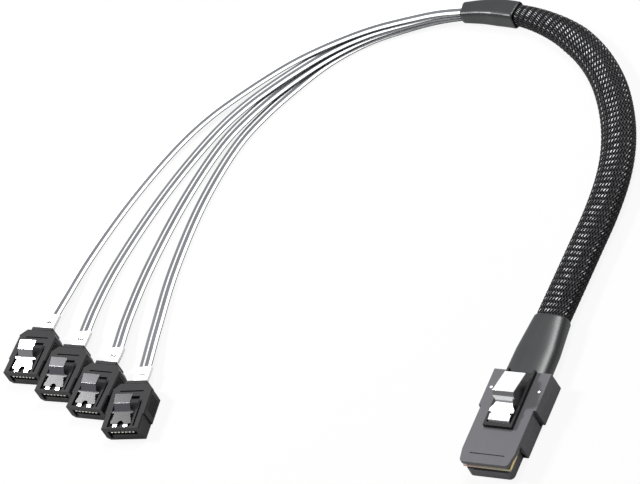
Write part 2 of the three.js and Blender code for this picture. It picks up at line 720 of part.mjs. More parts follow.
// The small latch: two legs with an arch between them, a plate with wings and hooks, a fold and a pad
function driveLatch() {
  const legHeight = recessFloor - LEG_POCKET_DEPTH + GAP + SMALL_SHEET / 2;
  const plateEnd = SMALL_LEG_STATION + SMALL_PLATE;
  const foldEnd = plateEnd + SMALL_FOLD_RUN;
  const padRear = foldEnd + SMALL_PAD;
  const plateRise = legHeight + SMALL_PLATE_RISE;
  const foldRise = plateRise + SMALL_FOLD_RISE;
  const strip = stripOutline([
    [SMALL_LEG_STATION, legHeight], [plateEnd, plateRise],
    [foldEnd, foldRise], [padRear, foldRise + SMALL_PAD_RISE],
  ], SMALL_SHEET);
  const wing = SMALL_LEG_STATION + SMALL_WING_STATION;
  const plan = mirroredShape([
    [SMALL_LEG_SPREAD / 2, 0], [SMALL_LEG_SPREAD / 2, wing],
    [SMALL_WINGS / 2, wing + SMALL_WING_RISE], [SMALL_WINGS / 2, wing + SMALL_WING_LENGTH],
    [SMALL_WAIST / 2, plateEnd - SMALL_HOOK_LENGTH],
    [SMALL_HOOKS / 2, plateEnd - SMALL_HOOK_LENGTH / 2], [SMALL_HOOKS / 2, plateEnd],
    [SMALL_WAIST / 2, plateEnd + SMALL_HOOK_LENGTH / 2], [SMALL_WAIST / 2, foldEnd],
    [SMALL_PAD_WIDTH / 2, padRear + OVER],
  ]);
  const archRadius = SMALL_ARCH / 2;
  const archEnd = SMALL_LEG_STATION + SMALL_ARCH_LENGTH - archRadius;
  const arch = new THREE.Shape();
  arch.moveTo(-archRadius, -OVER);
  arch.lineTo(archRadius, -OVER);
  arch.lineTo(archRadius, archEnd);
  arch.absarc(0, archEnd, archRadius, 0, Math.PI, false);
  const blank = acrossSlab(strip, [-DRIVE_WIDTH / 2, DRIVE_WIDTH / 2]);
  const throughout = [0, DRIVE_HEIGHT * 2];
  const latch = cut(blank.intersect(slab(plan, throughout)), slab(arch, throughout));
  return latch.translate([RECESS_OFFSET, 0, 0]);
}

const drivePieces = [
  ['housing', geometryOf(driveHousing()), connectorBlack],
  ['contacts', geometryOf(driveContacts()), contactGold],
  ['tail', geometryOf(driveTail()), connectorBlack],
  ['latch', geometryOf(driveLatch()), springSteel],
];

const driveGroups = RUNS.map(({ front, turn }, lane) => {
  const group = new THREE.Group();
  const before = RUNS.slice(1, lane + 1).reduce((sum, run) => sum + DRIVE_WIDTH + run.apart, 0);
  group.position.set(FIRST_CONNECTOR - before, front, 0);
  group.rotation.z = THREE.MathUtils.degToRad(turn);
  for (const [piece, geometry, material] of drivePieces) {
    addPiece(group, `drive_${piece}_${lane + 1}`, geometry, material);
  }
  group.updateMatrixWorld(true);
  cable.add(group);
  return group;
});

// Cords: a route whose section stays level, and may change its width and thickness on the way

class LevelRoute extends THREE.CatmullRomCurve3 {
  constructor(points, sizeAt = () => [1, 1]) {
    super(points, false, 'centripetal');
    this.sizeAt = sizeAt;
  }

  computeFrenetFrames(steps) {
    const frames = { tangents: [], normals: [], binormals: [] };
    const up = new THREE.Vector3(0, 0, 1);
    for (let i = 0; i <= steps; i += 1) {
      const tangent = this.getTangentAt(i / steps);
      const across = new THREE.Vector3().crossVectors(up, tangent).normalize();
      const lift = new THREE.Vector3().crossVectors(tangent, across);
      const [width, thickness] = this.sizeAt(i / steps);
      frames.tangents.push(tangent);
      frames.normals.push(across.multiplyScalar(width));
      frames.binormals.push(lift.multiplyScalar(thickness));
    }
    return frames;
  }
}

function sweep(section, route, steps) {
  return new THREE.ExtrudeGeometry(section, { extrudePath: route, steps, bevelEnabled: false });
}

// A flattened round outline of half-width and half-height 1
function roundOutline(scaleAcross, scaleUp, squareness) {
  const power = 2 / squareness;
  return Array.from({ length: TUBE_SIDES }, (unused, i) => {
    const angle = (2 * Math.PI * i) / TUBE_SIDES;
    const across = Math.sign(Math.cos(angle)) * Math.abs(Math.cos(angle)) ** power;
    const up = Math.sign(Math.sin(angle)) * Math.abs(Math.sin(angle)) ** power;
    return new THREE.Vector2(across * scaleAcross, up * scaleUp);
  });
}

// A hollow section: the outer outline at size 1, the bore smaller by the wall on each side
function tubeSection([width, thickness], wall, squareness) {
  const section = new THREE.Shape(roundOutline(1, 1, squareness));
  const bore = roundOutline(1 - (2 * wall) / width, 1 - (2 * wall) / thickness, squareness);
  section.holes.push(new THREE.Path(bore.reverse()));
  return section;
}

// The smallest bore of that form round a rectangle, with room for its flat sides
function boreAround([width, thickness], squareness) {
  const room = 2 ** (1 / squareness) / Math.cos(Math.PI / TUBE_SIDES);
  return [width * room, thickness * room];
}

function widened(sizes, by) {
  return sizes.map((size) => size + by);
}

function halved(sizes) {
  return sizes.map((size) => size / 2);
}

// Straight-line values between given stations, as a function of the share of the way
function between(stations, values) {
  return (share) => {
    const last = stations.length - 1;
    const after = Math.min(Math.max(stations.findIndex((station) => station > share), 1), last);
    const index = share >= stations[last] ? last : after;
    const span = stations[index] - stations[index - 1];
    const t = THREE.MathUtils.clamp((share - stations[index - 1]) / span, 0, 1);
    return values[index].map((value, i) => (
      THREE.MathUtils.lerp(values[index - 1][i], value, t)
    ));
  };
}

const trunk = new LevelRoute(TRUNK_POINTS.map((point) => new THREE.Vector3(...point)));
const trunkLength = trunk.getLength();

// The stretch of a route between two distances from its start
function stretch(route, from, to, count, sizeAt) {
  const length = route.getLength();
  const points = Array.from({ length: count }, (unused, i) => (
    route.getPointAt(THREE.MathUtils.clamp((from + ((to - from) * i) / (count - 1)) / length, 0, 1))
  ));
  return new LevelRoute(points, sizeAt);
}

const shrinkStart = trunkLength - SHRINK_LENGTH;
const sleeveStart = BOOT_LENGTH - SLEEVE_TUCK;
const sleeveEnd = shrinkStart + SLEEVE_TUCK;
const sleeveRun = sleeveEnd - sleeveStart;

// The sleeve is full in the open and narrows to the ribbons' stack at the breakout
const stack = [RIBBON_WIDTH, (LANES - 1) * STACK_PITCH + RIBBON_THICKNESS];
const fullSleeve = [SLEEVE_WIDTH, SLEEVE_THICKNESS];
const narrowSleeve = widened(boreAround(stack, SQUARENESS), 2 * SLEEVE_WALL);
const sleeveSize = between(
  [0, 1 - SLEEVE_NARROWS / sleeveRun, 1 - SLEEVE_NARROWS / 2 / sleeveRun, 1 - SLEEVE_TUCK / sleeveRun, 1],
  [
    fullSleeve, fullSleeve, [SLEEVE_WIDTH * SLEEVE_HALFWAY, SLEEVE_THICKNESS],
    narrowSleeve, narrowSleeve,
  ].map(halved),
);

const bootStart = [BOOT_WIDTH, BOOT_THICKNESS];
const bootEnd = widened(fullSleeve, 2 * (BOOT_WALL + FINE_GAP));
const bootSize = between(
  [0, BOOT_KINK / BOOT_LENGTH, 1],
  [bootStart, [BOOT_KINK_WIDTH, BOOT_THICKNESS], bootEnd].map(halved),
);

const shrinkEnd = widened(boreAround(stack, SHRINK_SQUARENESS), 2 * SHRINK_WALL);
const shrinkMouth = narrowSleeve.map((size, i) => (
  (size + 2 * FINE_GAP) / (1 - (2 * SHRINK_WALL) / shrinkEnd[i])
));
const shrinkSize = between(
  [0, (2 * SLEEVE_TUCK) / SHRINK_LENGTH, 1],
  [shrinkMouth, shrinkMouth, shrinkEnd].map(halved),
);

addPiece(cable, 'plug_boot', sweep(
  tubeSection(bootEnd, BOOT_WALL, SQUARENESS),
  stretch(trunk, 0, BOOT_LENGTH, BOOT_STEPS, bootSize),
  BOOT_STEPS,
), shrinkBlack);
addPiece(cable, 'braided_sleeve', sweep(
  tubeSection(narrowSleeve, SLEEVE_WALL, SQUARENESS),
  stretch(trunk, sleeveStart, sleeveEnd, SLEEVE_STEPS, sleeveSize),
  SLEEVE_STEPS,
), braidBlack);
addPiece(cable, 'breakout_shrink', sweep(
  tubeSection(shrinkEnd, SHRINK_WALL, SHRINK_SQUARENESS),
  stretch(trunk, shrinkStart, trunkLength, BOOT_STEPS, shrinkSize),
  BOOT_STEPS,
), shrinkBlack);

// How the ribbons lie in the trunk, as steps across and up from its middle line: in pairs on both
// sides of the card, then in a ring in the sleeve, then spread, then in one stack
const pairAcross = pairSpacing / 2;
const LAYS = [
  { across: [1, 1, -1, -1], up: [-1.2, 1.2, -1.2, 1.2] },
  { across: [1, 1, -1, -1], up: [-1.1, 0, 0, 1.1] },
  { across: [0, 1, -1, 0], up: [-1, 0, 0, 1] },
  { across: [0, 1, -1, 0], up: [-1.5, -0.5, 0.5, 1.5] },
  { across: [0, 0, 0, 0], up: [-1.5, -0.5, 0.5, 1.5] },
];
const LAY_STATIONS = [0, 8, 16.5, 108, 122, 150];

function trunkLay(lane) {
  const places = [0, 1, 2, 2, 3, 4].map((lay) => [
    LAYS[lay].across[lane] * pairAcross, LAYS[lay].up[lane] * STACK_PITCH,
  ]);
  return between(LAY_STATIONS, places);
}

// A ribbon's whole route: from the card, through the trunk, and out to its own connector
function ribbonPoints(lane) {
  const [startAcross, startUp] = trunkLay(lane)(0);
  const cardHeight = cardMiddle + Math.sign(startUp) * ribbonRise;
  const onCard = [CARD_REAR - RIBBON_ON_CARD, blockFront, (blockFront + blockRear) / 2, blockRear]
    .map((y) => new THREE.Vector3(startAcross, y, cardHeight));
  const stations = Array.from({ length: TRUNK_STATIONS }, (unused, i) => (
    TRUNK_LEAD + ((trunkLength - TRUNK_LEAD) * i) / (TRUNK_STATIONS - 1)
  ));
  const inTrunk = stations.map((distance) => {
    const share = distance / trunkLength;
    const [across, up] = trunkLay(lane)(distance);
    const heading = trunk.getTangentAt(share);
    const side = new THREE.Vector3().crossVectors(heading, new THREE.Vector3(0, 0, 1)).normalize();
    return trunk.getPointAt(share).addScaledVector(side, across).add(new THREE.Vector3(0, 0, up));
  });
  const free = RUNS[lane].points.map((point) => new THREE.Vector3(...point));
  const exits = [
    driveRear + RIBBON_STRAIGHT, driveRear, (driveRear + TAIL_FRONT) / 2, TAIL_FRONT - GAP,
  ];
  const intoConnector = exits
    .map((y) => new THREE.Vector3(0, y, RIBBON_EXIT_HEIGHT))
    .map((point) => driveGroups[lane].localToWorld(point));
  return [...onCard, ...inTrunk, ...free, ...intoConnector];
}

// Two round-edged lobes side by side, with a shallow valley between them on both faces
function ribbonSection() {
  const half = RIBBON_WIDTH / 2;
  const rise = RIBBON_THICKNESS / 2;
  const valley = RIBBON_VALLEY / 2;
  const outer = half * 0.8;
  const inner = half * 0.3;
  return shapeOf([
    [half, 0], [outer, rise], [inner, rise], [0, valley], [-inner, rise], [-outer, rise],
    [-half, 0], [-outer, -rise], [-inner, -rise], [0, -valley], [inner, -rise], [outer, -rise],
  ]);
}

function labelSection() {
  const inner = [RIBBON_WIDTH / 2 + FINE_GAP, RIBBON_THICKNESS / 2 + FINE_GAP];
  const outer = inner.map((size) => size + LABEL_WALL);
  const corners = ([a, b]) => [[a, -b], [a, b], [-a, b], [-a, -b]];
  const section = shapeOf(corners(outer));
  section.holes.push(shapeOf(corners(inner).reverse()));
  return section;
}

for (let lane = 0; lane < LANES; lane += 1) {
  const route = new LevelRoute(ribbonPoints(lane));
  const length = route.getLength();
  const labelEnd = length - (driveRear - TAIL_FRONT + GAP) - LABEL_SETBACK;
  addPiece(cable, `ribbon_${lane + 1}`, sweep(ribbonSection(), route, RIBBON_STEPS), ribbonSilver);
  addPiece(cable, `label_${lane + 1}`, sweep(
    labelSection(),
    stretch(route, labelEnd - LABEL_LENGTH, labelEnd, LABEL_STEPS + 1),
    LABEL_STEPS,
  ), labelWhite);
}

export default cable;
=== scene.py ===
"""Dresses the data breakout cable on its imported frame, in metres with +Z up.

The wide plug with its latch comes first, then the boot, the braided sleeve and the breakout that
carry the cord, then the four flat ribbons with their labels, and the small connectors at their ends.
"""

import json
import logging
import math
from dataclasses import dataclass, field
from enum import Enum
from typing import Callable, Dict, List, Optional, Sequence, Tuple, Union

import bmesh
import bpy
import numpy as np
from mathutils import Matrix, Vector

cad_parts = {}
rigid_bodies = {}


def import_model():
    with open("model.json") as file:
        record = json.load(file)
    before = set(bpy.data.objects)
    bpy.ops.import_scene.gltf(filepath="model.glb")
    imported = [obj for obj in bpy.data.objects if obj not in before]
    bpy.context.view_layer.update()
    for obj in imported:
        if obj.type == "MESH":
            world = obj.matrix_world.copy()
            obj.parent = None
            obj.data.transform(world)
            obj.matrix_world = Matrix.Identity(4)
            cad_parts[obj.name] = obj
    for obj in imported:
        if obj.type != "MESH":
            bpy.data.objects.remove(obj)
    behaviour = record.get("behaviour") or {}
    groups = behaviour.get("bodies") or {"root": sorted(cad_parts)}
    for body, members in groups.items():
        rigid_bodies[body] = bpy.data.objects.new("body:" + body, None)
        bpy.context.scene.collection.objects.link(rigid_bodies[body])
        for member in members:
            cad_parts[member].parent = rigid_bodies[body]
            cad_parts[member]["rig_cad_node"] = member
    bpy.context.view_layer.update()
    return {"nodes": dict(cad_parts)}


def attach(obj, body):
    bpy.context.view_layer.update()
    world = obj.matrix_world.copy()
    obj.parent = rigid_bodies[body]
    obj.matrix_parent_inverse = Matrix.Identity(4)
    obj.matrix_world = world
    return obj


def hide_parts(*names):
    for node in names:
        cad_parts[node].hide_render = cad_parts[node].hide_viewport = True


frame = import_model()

LOG = logging.getLogger("breakout_cable")
MM = 0.001
ROOT_BODY = "cable"
UP = np.array([0.0, 0.0, 1.0])
MERGE_DISTANCE = 0.002 * MM
FLAT_ANGLE = math.radians(1.0)
ROUND_ANGLE = math.radians(32)
FACE_WEIGHT = 80
Colour = Tuple[float, float, float]
Pair = Tuple[float, float]
Point = Tuple[float, float, float]


class Slot(Enum):
    """The record's material slots; each finish names the one it stands for."""

    SHELL = "shell_grey"
    CONNECTOR = "connector_black"
    STEEL = "spring_steel"
    CARD = "circuit_card"
    FILLER = "filler"
    CONTACTS = "contacts"
    SHRINK = "heat_shrink"
    BRAID = "braid"
    RIBBON = "ribbon_foil"
    LABEL = "label"


class Family(Enum):
    """The two directions in which the sleeve's strands wind."""

    RIGHT = 1
    LEFT = -1


# Shader graphs


class Signal:
    """A shader socket that takes part in arithmetic with numbers and other signals."""

    def __init__(self, graph: "Graph", socket: bpy.types.NodeSocket) -> None:
        """Keeps the graph that new Math nodes go into, and the socket."""
        self.graph = graph
        self.socket = socket

    def math(self, operation: str, *others: Union["Signal", float]) -> "Signal":
        """Adds one Math node.

        Args:
            operation: the node's operation.
            others: its second and third values.

        Returns:
            The node's output.
        """
        values = dict(enumerate((self, *others)))
        return self.graph.signal("ShaderNodeMath", {"operation": operation}, values)

    def __add__(self, other: Union["Signal", float]) -> "Signal":
        """This plus other."""
        return self.math("ADD", other)

    def __radd__(self, other: float) -> "Signal":
        """A number plus this."""
        return self.math("ADD", other)

    def __sub__(self, other: Union["Signal", float]) -> "Signal":
        """This minus other."""
        return self.math("SUBTRACT", other)

    def __rsub__(self, other: float) -> "Signal":
        """A number minus this."""
        return (self * -1.0).math("ADD", other)

    def __mul__(self, other: Union["Signal", float]) -> "Signal":
        """This times other."""
        return self.math("MULTIPLY", other)

    def __rmul__(self, other: float) -> "Signal":
        """A number times this."""
        return self.math("MULTIPLY", other)

    def __truediv__(self, other: float) -> "Signal":
        """This over a number."""
        return self.math("DIVIDE", other)

    def __abs__(self) -> "Signal":
        """This without its sign."""
        return self.math("ABSOLUTE")

    def over(self, limit: float) -> "Signal":
        """1 where this is above the limit, and 0 elsewhere."""
        return self.math("GREATER_THAN", limit)

    def step(self, low: float, high: float) -> "Signal":
        """A smooth step.

        Args:
            low: where the result leaves 0.
            high: where it reaches 1.

        Returns:
            The step's value.
        """
        limits = {"Value": self, "From Min": low, "From Max": high}
        return self.graph.signal("ShaderNodeMapRange", {"interpolation_type": "SMOOTHSTEP"}, limits)

    def window(self, low: float, high: float, soft: float) -> "Signal":
        """1 between two limits and 0 outside them.

        Args:
            low: the lower limit.
            high: the upper limit.
            soft: half the width of the ramp at each limit.

        Returns:
            The window's value.
        """
        return self.step(low - soft, low + soft) * (1.0 - self.step(high - soft, high + soft))


class Graph:
    """A node tree, filled through one method, with a few signals that every finish uses."""

    def __init__(self, tree: bpy.types.NodeTree) -> None:
        """Takes over a tree and empties it."""
        self.tree = tree
        tree.nodes.clear()

    def node(
        self,
        kind: str,
        settings: Optional[Dict[str, object]] = None,
        inputs: Optional[Dict[Union[str, int], object]] = None,
    ) -> bpy.types.Node:
        """Adds a node.

        Args:
            kind: the node's type.
            settings: its own properties, set first.
            inputs: its sockets by name or number, each a plain value or a signal.

        Returns:
            The node.
        """
        made = self.tree.nodes.new(kind)
        for name, value in (settings or {}).items():
            setattr(made, name, value)
        for key, value in (inputs or {}).items():
            if isinstance(value, Signal):
                self.tree.links.new(value.socket, made.inputs[key])
            else:
                made.inputs[key].default_value = value
        return made

    def signal(
        self,
        kind: str,
        settings: Optional[Dict[str, object]] = None,
        inputs: Optional[Dict[Union[str, int], object]] = None,
        output: Union[str, int] = 0,
    ) -> Signal:
        """Adds a node and gives one of its outputs.

        Args:
            kind: the node's type.
            settings: its own properties.
            inputs: its sockets.
            output: the wanted output, by name or number.

        Returns:
            That output.
        """
        return Signal(self, self.node(kind, settings, inputs).outputs[output])

    def place(self) -> Signal:
        """The point on the piece, in the object's own coordinates."""
        return self.signal("ShaderNodeTexCoord", output="Object")

    def axes(self, point: Signal) -> Tuple[Signal, Signal, Signal]:
        """The three coordinates of a point."""
        made = self.node("ShaderNodeSeparateXYZ", inputs={0: point})
        return tuple(Signal(self, output) for output in made.outputs)

    def along(self, point: Signal, heading: Point) -> Signal:
        """How far a point lies along a heading from the origin."""
        dot = {"operation": "DOT_PRODUCT"}
        return self.signal("ShaderNodeVectorMath", dot, {0: point, 1: heading}, "Value")

    def attribute(self, name: str) -> Signal:
        """A number that the piece's mesh holds at each point."""
        return self.signal("ShaderNodeAttribute", {"attribute_name": name}, output="Fac")

    def noise(self, point: Signal, per_mm: float, detail: float = 2.0) -> Signal:
        """A cloudy pattern from 0 to 1.

        Args:
            point: where it is read.
            per_mm: how many clouds there are in a millimetre.
            detail: how many finer layers it has.

        Returns:
            The pattern's value.
        """
        inputs = {"Vector": point, "Scale": per_mm / MM, "Detail": detail}
        return self.signal("ShaderNodeTexNoise", inputs=inputs)

    def stretched(self, point: Signal, scale: Point, turn: float = 0.0) -> Signal:
        """A point turned about Z and scaled, so that a pattern on it is drawn out.

        Args:
            point: the point.
            scale: the scale along each turned axis.
            turn: the turn about Z in radians.

        Returns:
            The new point.
        """
        inputs = {"Vector": point, "Rotation": (0.0, 0.0, turn), "Scale": scale}
        return self.signal("ShaderNodeMapping", {"vector_type": "POINT"}, inputs)

    def mix(self, share: Union[Signal, float], first: object, second: object) -> Signal:
        """A colour between two.

        Args:
            share: 0 for the first colour, 1 for the second.
            first: a colour or a signal.
            second: a colour or a signal.

        Returns:
            The mixed colour.
        """
        opaque = [c if isinstance(c, Signal) else (*c, 1.0) for c in (first, second)]
        inputs = {0: share, 6: opaque[0], 7: opaque[1]}
        return self.signal("ShaderNodeMix", {"data_type": "RGBA"}, inputs, output=2)

    def bump(self, height: Signal, depth_mm: float, strength: float = 1.0) -> Signal:
        """A normal that follows a height.

        Args:
            height: the height, from 0 to 1.
            depth_mm: the height's full range in millimetres.
            strength: how much of it shows.

        Returns:
            The bent normal.
        """
        inputs = {"Height": height, "Distance": depth_mm * MM, "Strength": strength}
        return self.signal("ShaderNodeBump", inputs=inputs)


def linear(red: int, green: int, blue: int) -> Colour:
    """Turns an sRGB colour into a linear one.

    Each share c of 255 becomes c / 12.92 below 0.04045, and ((c + 0.055) / 1.055) ** 2.4 above.

    Args:
        red: 0 to 255.
        green: 0 to 255.
        blue: 0 to 255.

    Returns:
        The linear colour.
    """
    shares = np.array([red, green, blue]) / 255
    return tuple(np.where(shares <= 0.04045, shares / 12.92, ((shares + 0.055) / 1.055) ** 2.4))


@dataclass(frozen=True)
class Finish:
    """What every finish has: a name, the slot it stands for and a base colour."""

    name: str
    slot: Slot
    colour: Colour

    def surface(self, graph: Graph) -> Dict[str, object]:
        """The Principled shader's sockets; a finish of its own overrides this."""
        return {"Base Color": (*self.colour, 1.0)}

    def shaded(self, graph: Graph, share: Signal, first: float, second: float) -> Signal:
        """A mix of two shades of the base colour.

        Args:
            graph: the material's graph.
            share: 0 for the first shade, 1 for the second.
            first: the first shade, as a factor of the colour.
            second: the second shade.

        Returns:
            The mixed colour.
        """
        return graph.mix(share, *(tuple(c * shade for c in self.colour) for shade in (first, second)))

    def material(self) -> bpy.types.Material:
        """The Blender material, made once and then kept.

        Returns:
            The material.
        """
        made = bpy.data.materials.get(self.name)
        if made is None:
            made = bpy.data.materials.new(self.name)
            made.use_nodes = True
            graph = Graph(made.node_tree)
            shader = graph.signal("ShaderNodeBsdfPrincipled", inputs=self.surface(graph))
            graph.node("ShaderNodeOutputMaterial", inputs={"Surface": shader})
            made.diffuse_color = (*self.colour, 1.0)
        return made

    def dress(self, piece: bpy.types.Object) -> bpy.types.Object:
        """Gives a piece this finish.

        Args:
            piece: the piece.

        Returns:
            The same piece.
        """
        piece.data.materials.clear()
        piece.data.materials.append(self.material())
        return piece


@dataclass(frozen=True)
class MouldedPlastic(Finish):
    """Moulded plastic with a fine spark-eroded grain and faint flow marks."""

    roughness: float = 0.5
    gloss: float = 0.22
    grain_per_mm: float = 5.0
    grain_mm: float = 0.02
    flow_per_mm: float = 0.25
    flow_squeeze: Point = (1.0, 0.35, 1.0)
    shades: Pair = (0.55, 1.45)
    # A dark colour: the raised frame's own black plastic, and painted shade on the floor of the latch's
    # well.
    insert: Optional[Colour] = None
    insert_half_width: float = 4.85 * MM
    insert_level: float = 7.24 * MM
    well_half_width: float = 4.01 * MM
    well_level: float = 6.6 * MM
    well_front: float = 4.8 * MM

    def surface(self, graph: Graph) -> Dict[str, object]:
        """Mottles the colour and the roughness, and adds the grain.

        Where the finish has a dark colour for it, the raised frame takes that colour as its own black
        plastic, and the floor of the latch's well takes it as painted shade in the recess.

        Args:
            graph: the material's graph.

        Returns:
            The shader's sockets.
        """
        place = graph.place()
        flow = graph.noise(graph.stretched(place, self.flow_squeeze), self.flow_per_mm)
        grain = graph.noise(place, self.grain_per_mm, 3.0)
        colour = self.shaded(graph, 0.4 + flow * 0.2, *self.shades)
        if self.insert:
            x, y, z = graph.axes(place)
            frame_share = (1.0 - abs(x).over(self.insert_half_width)) * z.over(self.insert_level)
            # The well's floor takes the dark colour as painted shade in the recess.
            well_shade_share = (1.0 - abs(x).over(self.well_half_width)) * z.over(self.well_level)
            share = (frame_share + well_shade_share * y.over(self.well_front)).math("MINIMUM", 1.0)
            colour = graph.mix(share, colour, self.insert)
        return {
            "Base Color": colour,
            "Roughness": self.roughness - 0.06 + grain * 0.12,
            "Specular IOR Level": self.gloss,
            "Normal": graph.bump(grain, self.grain_mm, 0.6),
        }


@dataclass(frozen=True)
class Tone:
    """One painted band across a strip, standing for reflection and shade: where it starts and ends behind
    the front, and its colour.
    """

    start: float
    end: float
    colour: Colour


@dataclass(frozen=True)
class SpringSteel(Finish):
    """Bright pressed steel, rolled along its length, with painted bands of reflection and shade that
    change at its folds.
    """

    roughness: float = 0.22
    turn: float = 0.0
    streak_mm: float = 0.004
    streaks_per_mm: float = 9.0
    streak_squeeze: Point = (1.0, 0.04, 1.0)
    patches_per_mm: float = 0.4
    worn: float = 0.8
    metallic: float = 0.5
    heading: Point = (0.0, 1.0, 0.0)
    front: float = 0.0
    soft: float = 0.08 * MM
    # Painted bands of reflection and shade, going back from the front.
    tones: Tuple[Tone, ...] = ()

    def surface(self, graph: Graph) -> Dict[str, object]:
        """Draws the painted bands of reflection and shade, fine rolling streaks along the strip and a few
        cloudy patches.

        A band covers the points whose distance along the heading, less the front's, is inside it.

        Args:
            graph: the material's graph.

        Returns:
            The shader's sockets.
        """
        place = graph.place()
        rolled = graph.stretched(place, self.streak_squeeze, -self.turn)
        streaks = graph.noise(rolled, self.streaks_per_mm, 3.0)
        patches = graph.noise(place, self.patches_per_mm)
        colour = self.shaded(graph, patches * 0.25 + streaks * 0.15, 1.0, self.worn)
        behind = graph.along(place, self.heading) - self.front
        # Each band paints reflection and shade into the colour over its stretch.
        for tone in self.tones:
            colour = graph.mix(behind.window(tone.start, tone.end, self.soft), colour, tone.colour)
        return {
            "Base Color": colour,
            "Metallic": self.metallic,
            "Roughness": self.roughness + streaks * 0.12,
            "Normal": graph.bump(streaks, self.streak_mm, 0.5),
        }


@dataclass(frozen=True)
class HeatShrink(Finish):
    """Shrunk tube: satin, with gentle dents where it clings to what is inside."""

    roughness: float = 0.3
    gloss: float = 0.5
    dent_mm: float = 0.22
    dents_per_mm: float = 0.16
    dent_squeeze: Point = (1.0, 0.4, 1.0)
    peel_per_mm: float = 3.2
    peel_share: float = 0.04
    # How much darker the dents' hollows and lighter their rises are painted, as shade.
    shades: Pair = (0.7, 1.3)

    def surface(self, graph: Graph) -> Dict[str, object]:
        """Adds long shallow dents with painted shade in their hollows, and a fine orange-peel.

        Args:
            graph: the material's graph.

        Returns:
            The shader's sockets.
        """
        place = graph.place()
        dents = graph.noise(graph.stretched(place, self.dent_squeeze), self.dents_per_mm, 1.0)
        peel = graph.noise(place, self.peel_per_mm)
        height = dents * (1 - self.peel_share) + peel * self.peel_share
        return {
            # The colour follows the dents as painted shade: darker in their hollows, lighter on their
            # rises.
            "Base Color": self.shaded(graph, 0.3 + dents * 0.4, *self.shades),
            "Roughness": self.roughness + peel * 0.1,
            "Specular IOR Level": self.gloss,
            "Normal": graph.bump(height, self.dent_mm, 0.7),
        }


@dataclass(frozen=True)
class Glint:
    """A stretch of the sleeve's girth where a highlight is painted on the crests, in shares of the girth.
    """

    start: float
    end: float
    soft: float
    strength: float


@dataclass(frozen=True)
class Braid(Finish):
    """Black monofilament strands, with a painted highlight on their crests where they pass over the
    others.
    """

    # Colour of the painted highlight on the crests.
    crest: Colour = (0.3, 0.3, 0.31)
    filaments: float = 3.0
    roughness: float = 0.42
    gloss: float = 0.15
    crest_ramp: Pair = (-0.1, 0.5)
    side_ramp: Pair = (0.15, 0.55)
    side_shift: float = 0.1
    # A cloudy pattern roughens worn patches of the strands and dims their painted highlight, down to the
    # worn share.
    wear_per_mm: float = 0.55
    wear_ramp: Pair = (0.35, 0.62)
    worn: float = 0.15
    ridge_mm: float = 0.06
    # Share of the painted highlight that the crests keep outside the glints.
    resting: float = 0.1
    # Stretches of the girth where the painted highlight shows, each with its strength.
    glints: Tuple[Glint, ...] = (
        Glint(0.17, 0.29, 0.025, 0.9), Glint(0.1, 0.125, 0.01, 0.54), Glint(0.395, 0.425, 0.01, 0.9),
    )

    def surface(self, graph: Graph) -> Dict[str, object]:
        """Paints a highlight on the crests inside the glints and parts each strand into its filaments.

        Args:
            graph: the material's graph.

        Returns:
            The shader's sockets.
        """
        crest = graph.attribute("crest").step(*self.crest_ramp)
        side = graph.attribute("side")
        around = graph.attribute("around")
        middle = 1.0 - abs(side + self.side_shift).step(*self.side_ramp)
        wear_and_highlight = graph.noise(graph.place(), self.wear_per_mm, 1.0).step(*self.wear_ramp)
        # The crests' painted highlight: brightest inside the glints and in the middle of each strand,
        # dimmed in the worn patches.
        lit = [around.window(glint.start, glint.end, glint.soft) * glint.strength for glint in self.glints]
        painted_highlight = crest * middle * sum(lit, self.resting) * (self.worn + wear_and_highlight * (1 - self.worn))
        ridges = abs((side * (math.pi * self.filaments / 2)).math("COSINE"))
        return {
            "Base Color": graph.mix(painted_highlight, self.colour, self.crest),
            "Roughness": self.roughness + wear_and_highlight * 0.08,
            "Specular IOR Level": self.gloss,
            "Normal": graph.bump(ridges, self.ridge_mm, 0.5),
        }


@dataclass(frozen=True)
class FoilRibbon(Finish):
    """A flat twin cable: silver foil shows through a clear jacket over each pair, with its reflections and
    shade painted across the ribbon.
    """

    # The foil colour is the grey of a painted reflection, laid in bands across the ribbon; the edge colour
    # is painted shade along its rims.
    foil: Colour = (0.085, 0.087, 0.095)
    edge: Colour = (0.07, 0.07, 0.075)
    first: Pair = (0.38, 1.0)
    second: Pair = (-0.5, 0.16)
    first_share: float = 1.0
    between_share: float = 0.22
    soft: float = 0.05
    rim: Pair = (0.88, 0.94)
    ripple_pitch: float = 9.0 * MM
    ripple: float = 0.04
    tone_per_mm: float = 0.05
    foil_light: float = 1.7
    foil_metal: float = 0.15

    def surface(self, graph: Graph) -> Dict[str, object]:
        """Paints reflection and shade across the ribbon: two grey bands of painted foil reflection, a
        paler one between them, and dark edges of painted shade.

        Args:
            graph: the material's graph.

        Returns:
            The shader's sockets.
        """
        across = graph.attribute("across")
        along = graph.attribute("along")
        # Grey bands of painted foil reflection, with a paler one between them.
        first = across.window(*self.first, self.soft) * self.first_share
        between = across.window(self.second[1], self.first[0], self.soft)
        bands = first + across.window(*self.second, self.soft)
        bands = bands + between * (self.between_share * self.first_share)
        tone = graph.noise(graph.place(), self.tone_per_mm, 1.0)
        ripple = (along * (2 * math.pi / self.ripple_pitch)).math("SINE") * self.ripple
        foil = graph.mix(tone * 0.7 + ripple, self.foil, tuple(c * self.foil_light for c in self.foil))
        body = graph.mix(bands, self.colour, foil)
        # Dark rims of painted shade.
        rim = abs(across).step(*self.rim)
        return {
            "Base Color": graph.mix(rim, body, self.edge),
            "Metallic": bands * self.foil_metal,
            "Roughness": 0.4 + tone * 0.12,
            "Specular IOR Level": 0.3,
            "Coat Weight": 0.1,
            "Coat Roughness": 0.2,
        }


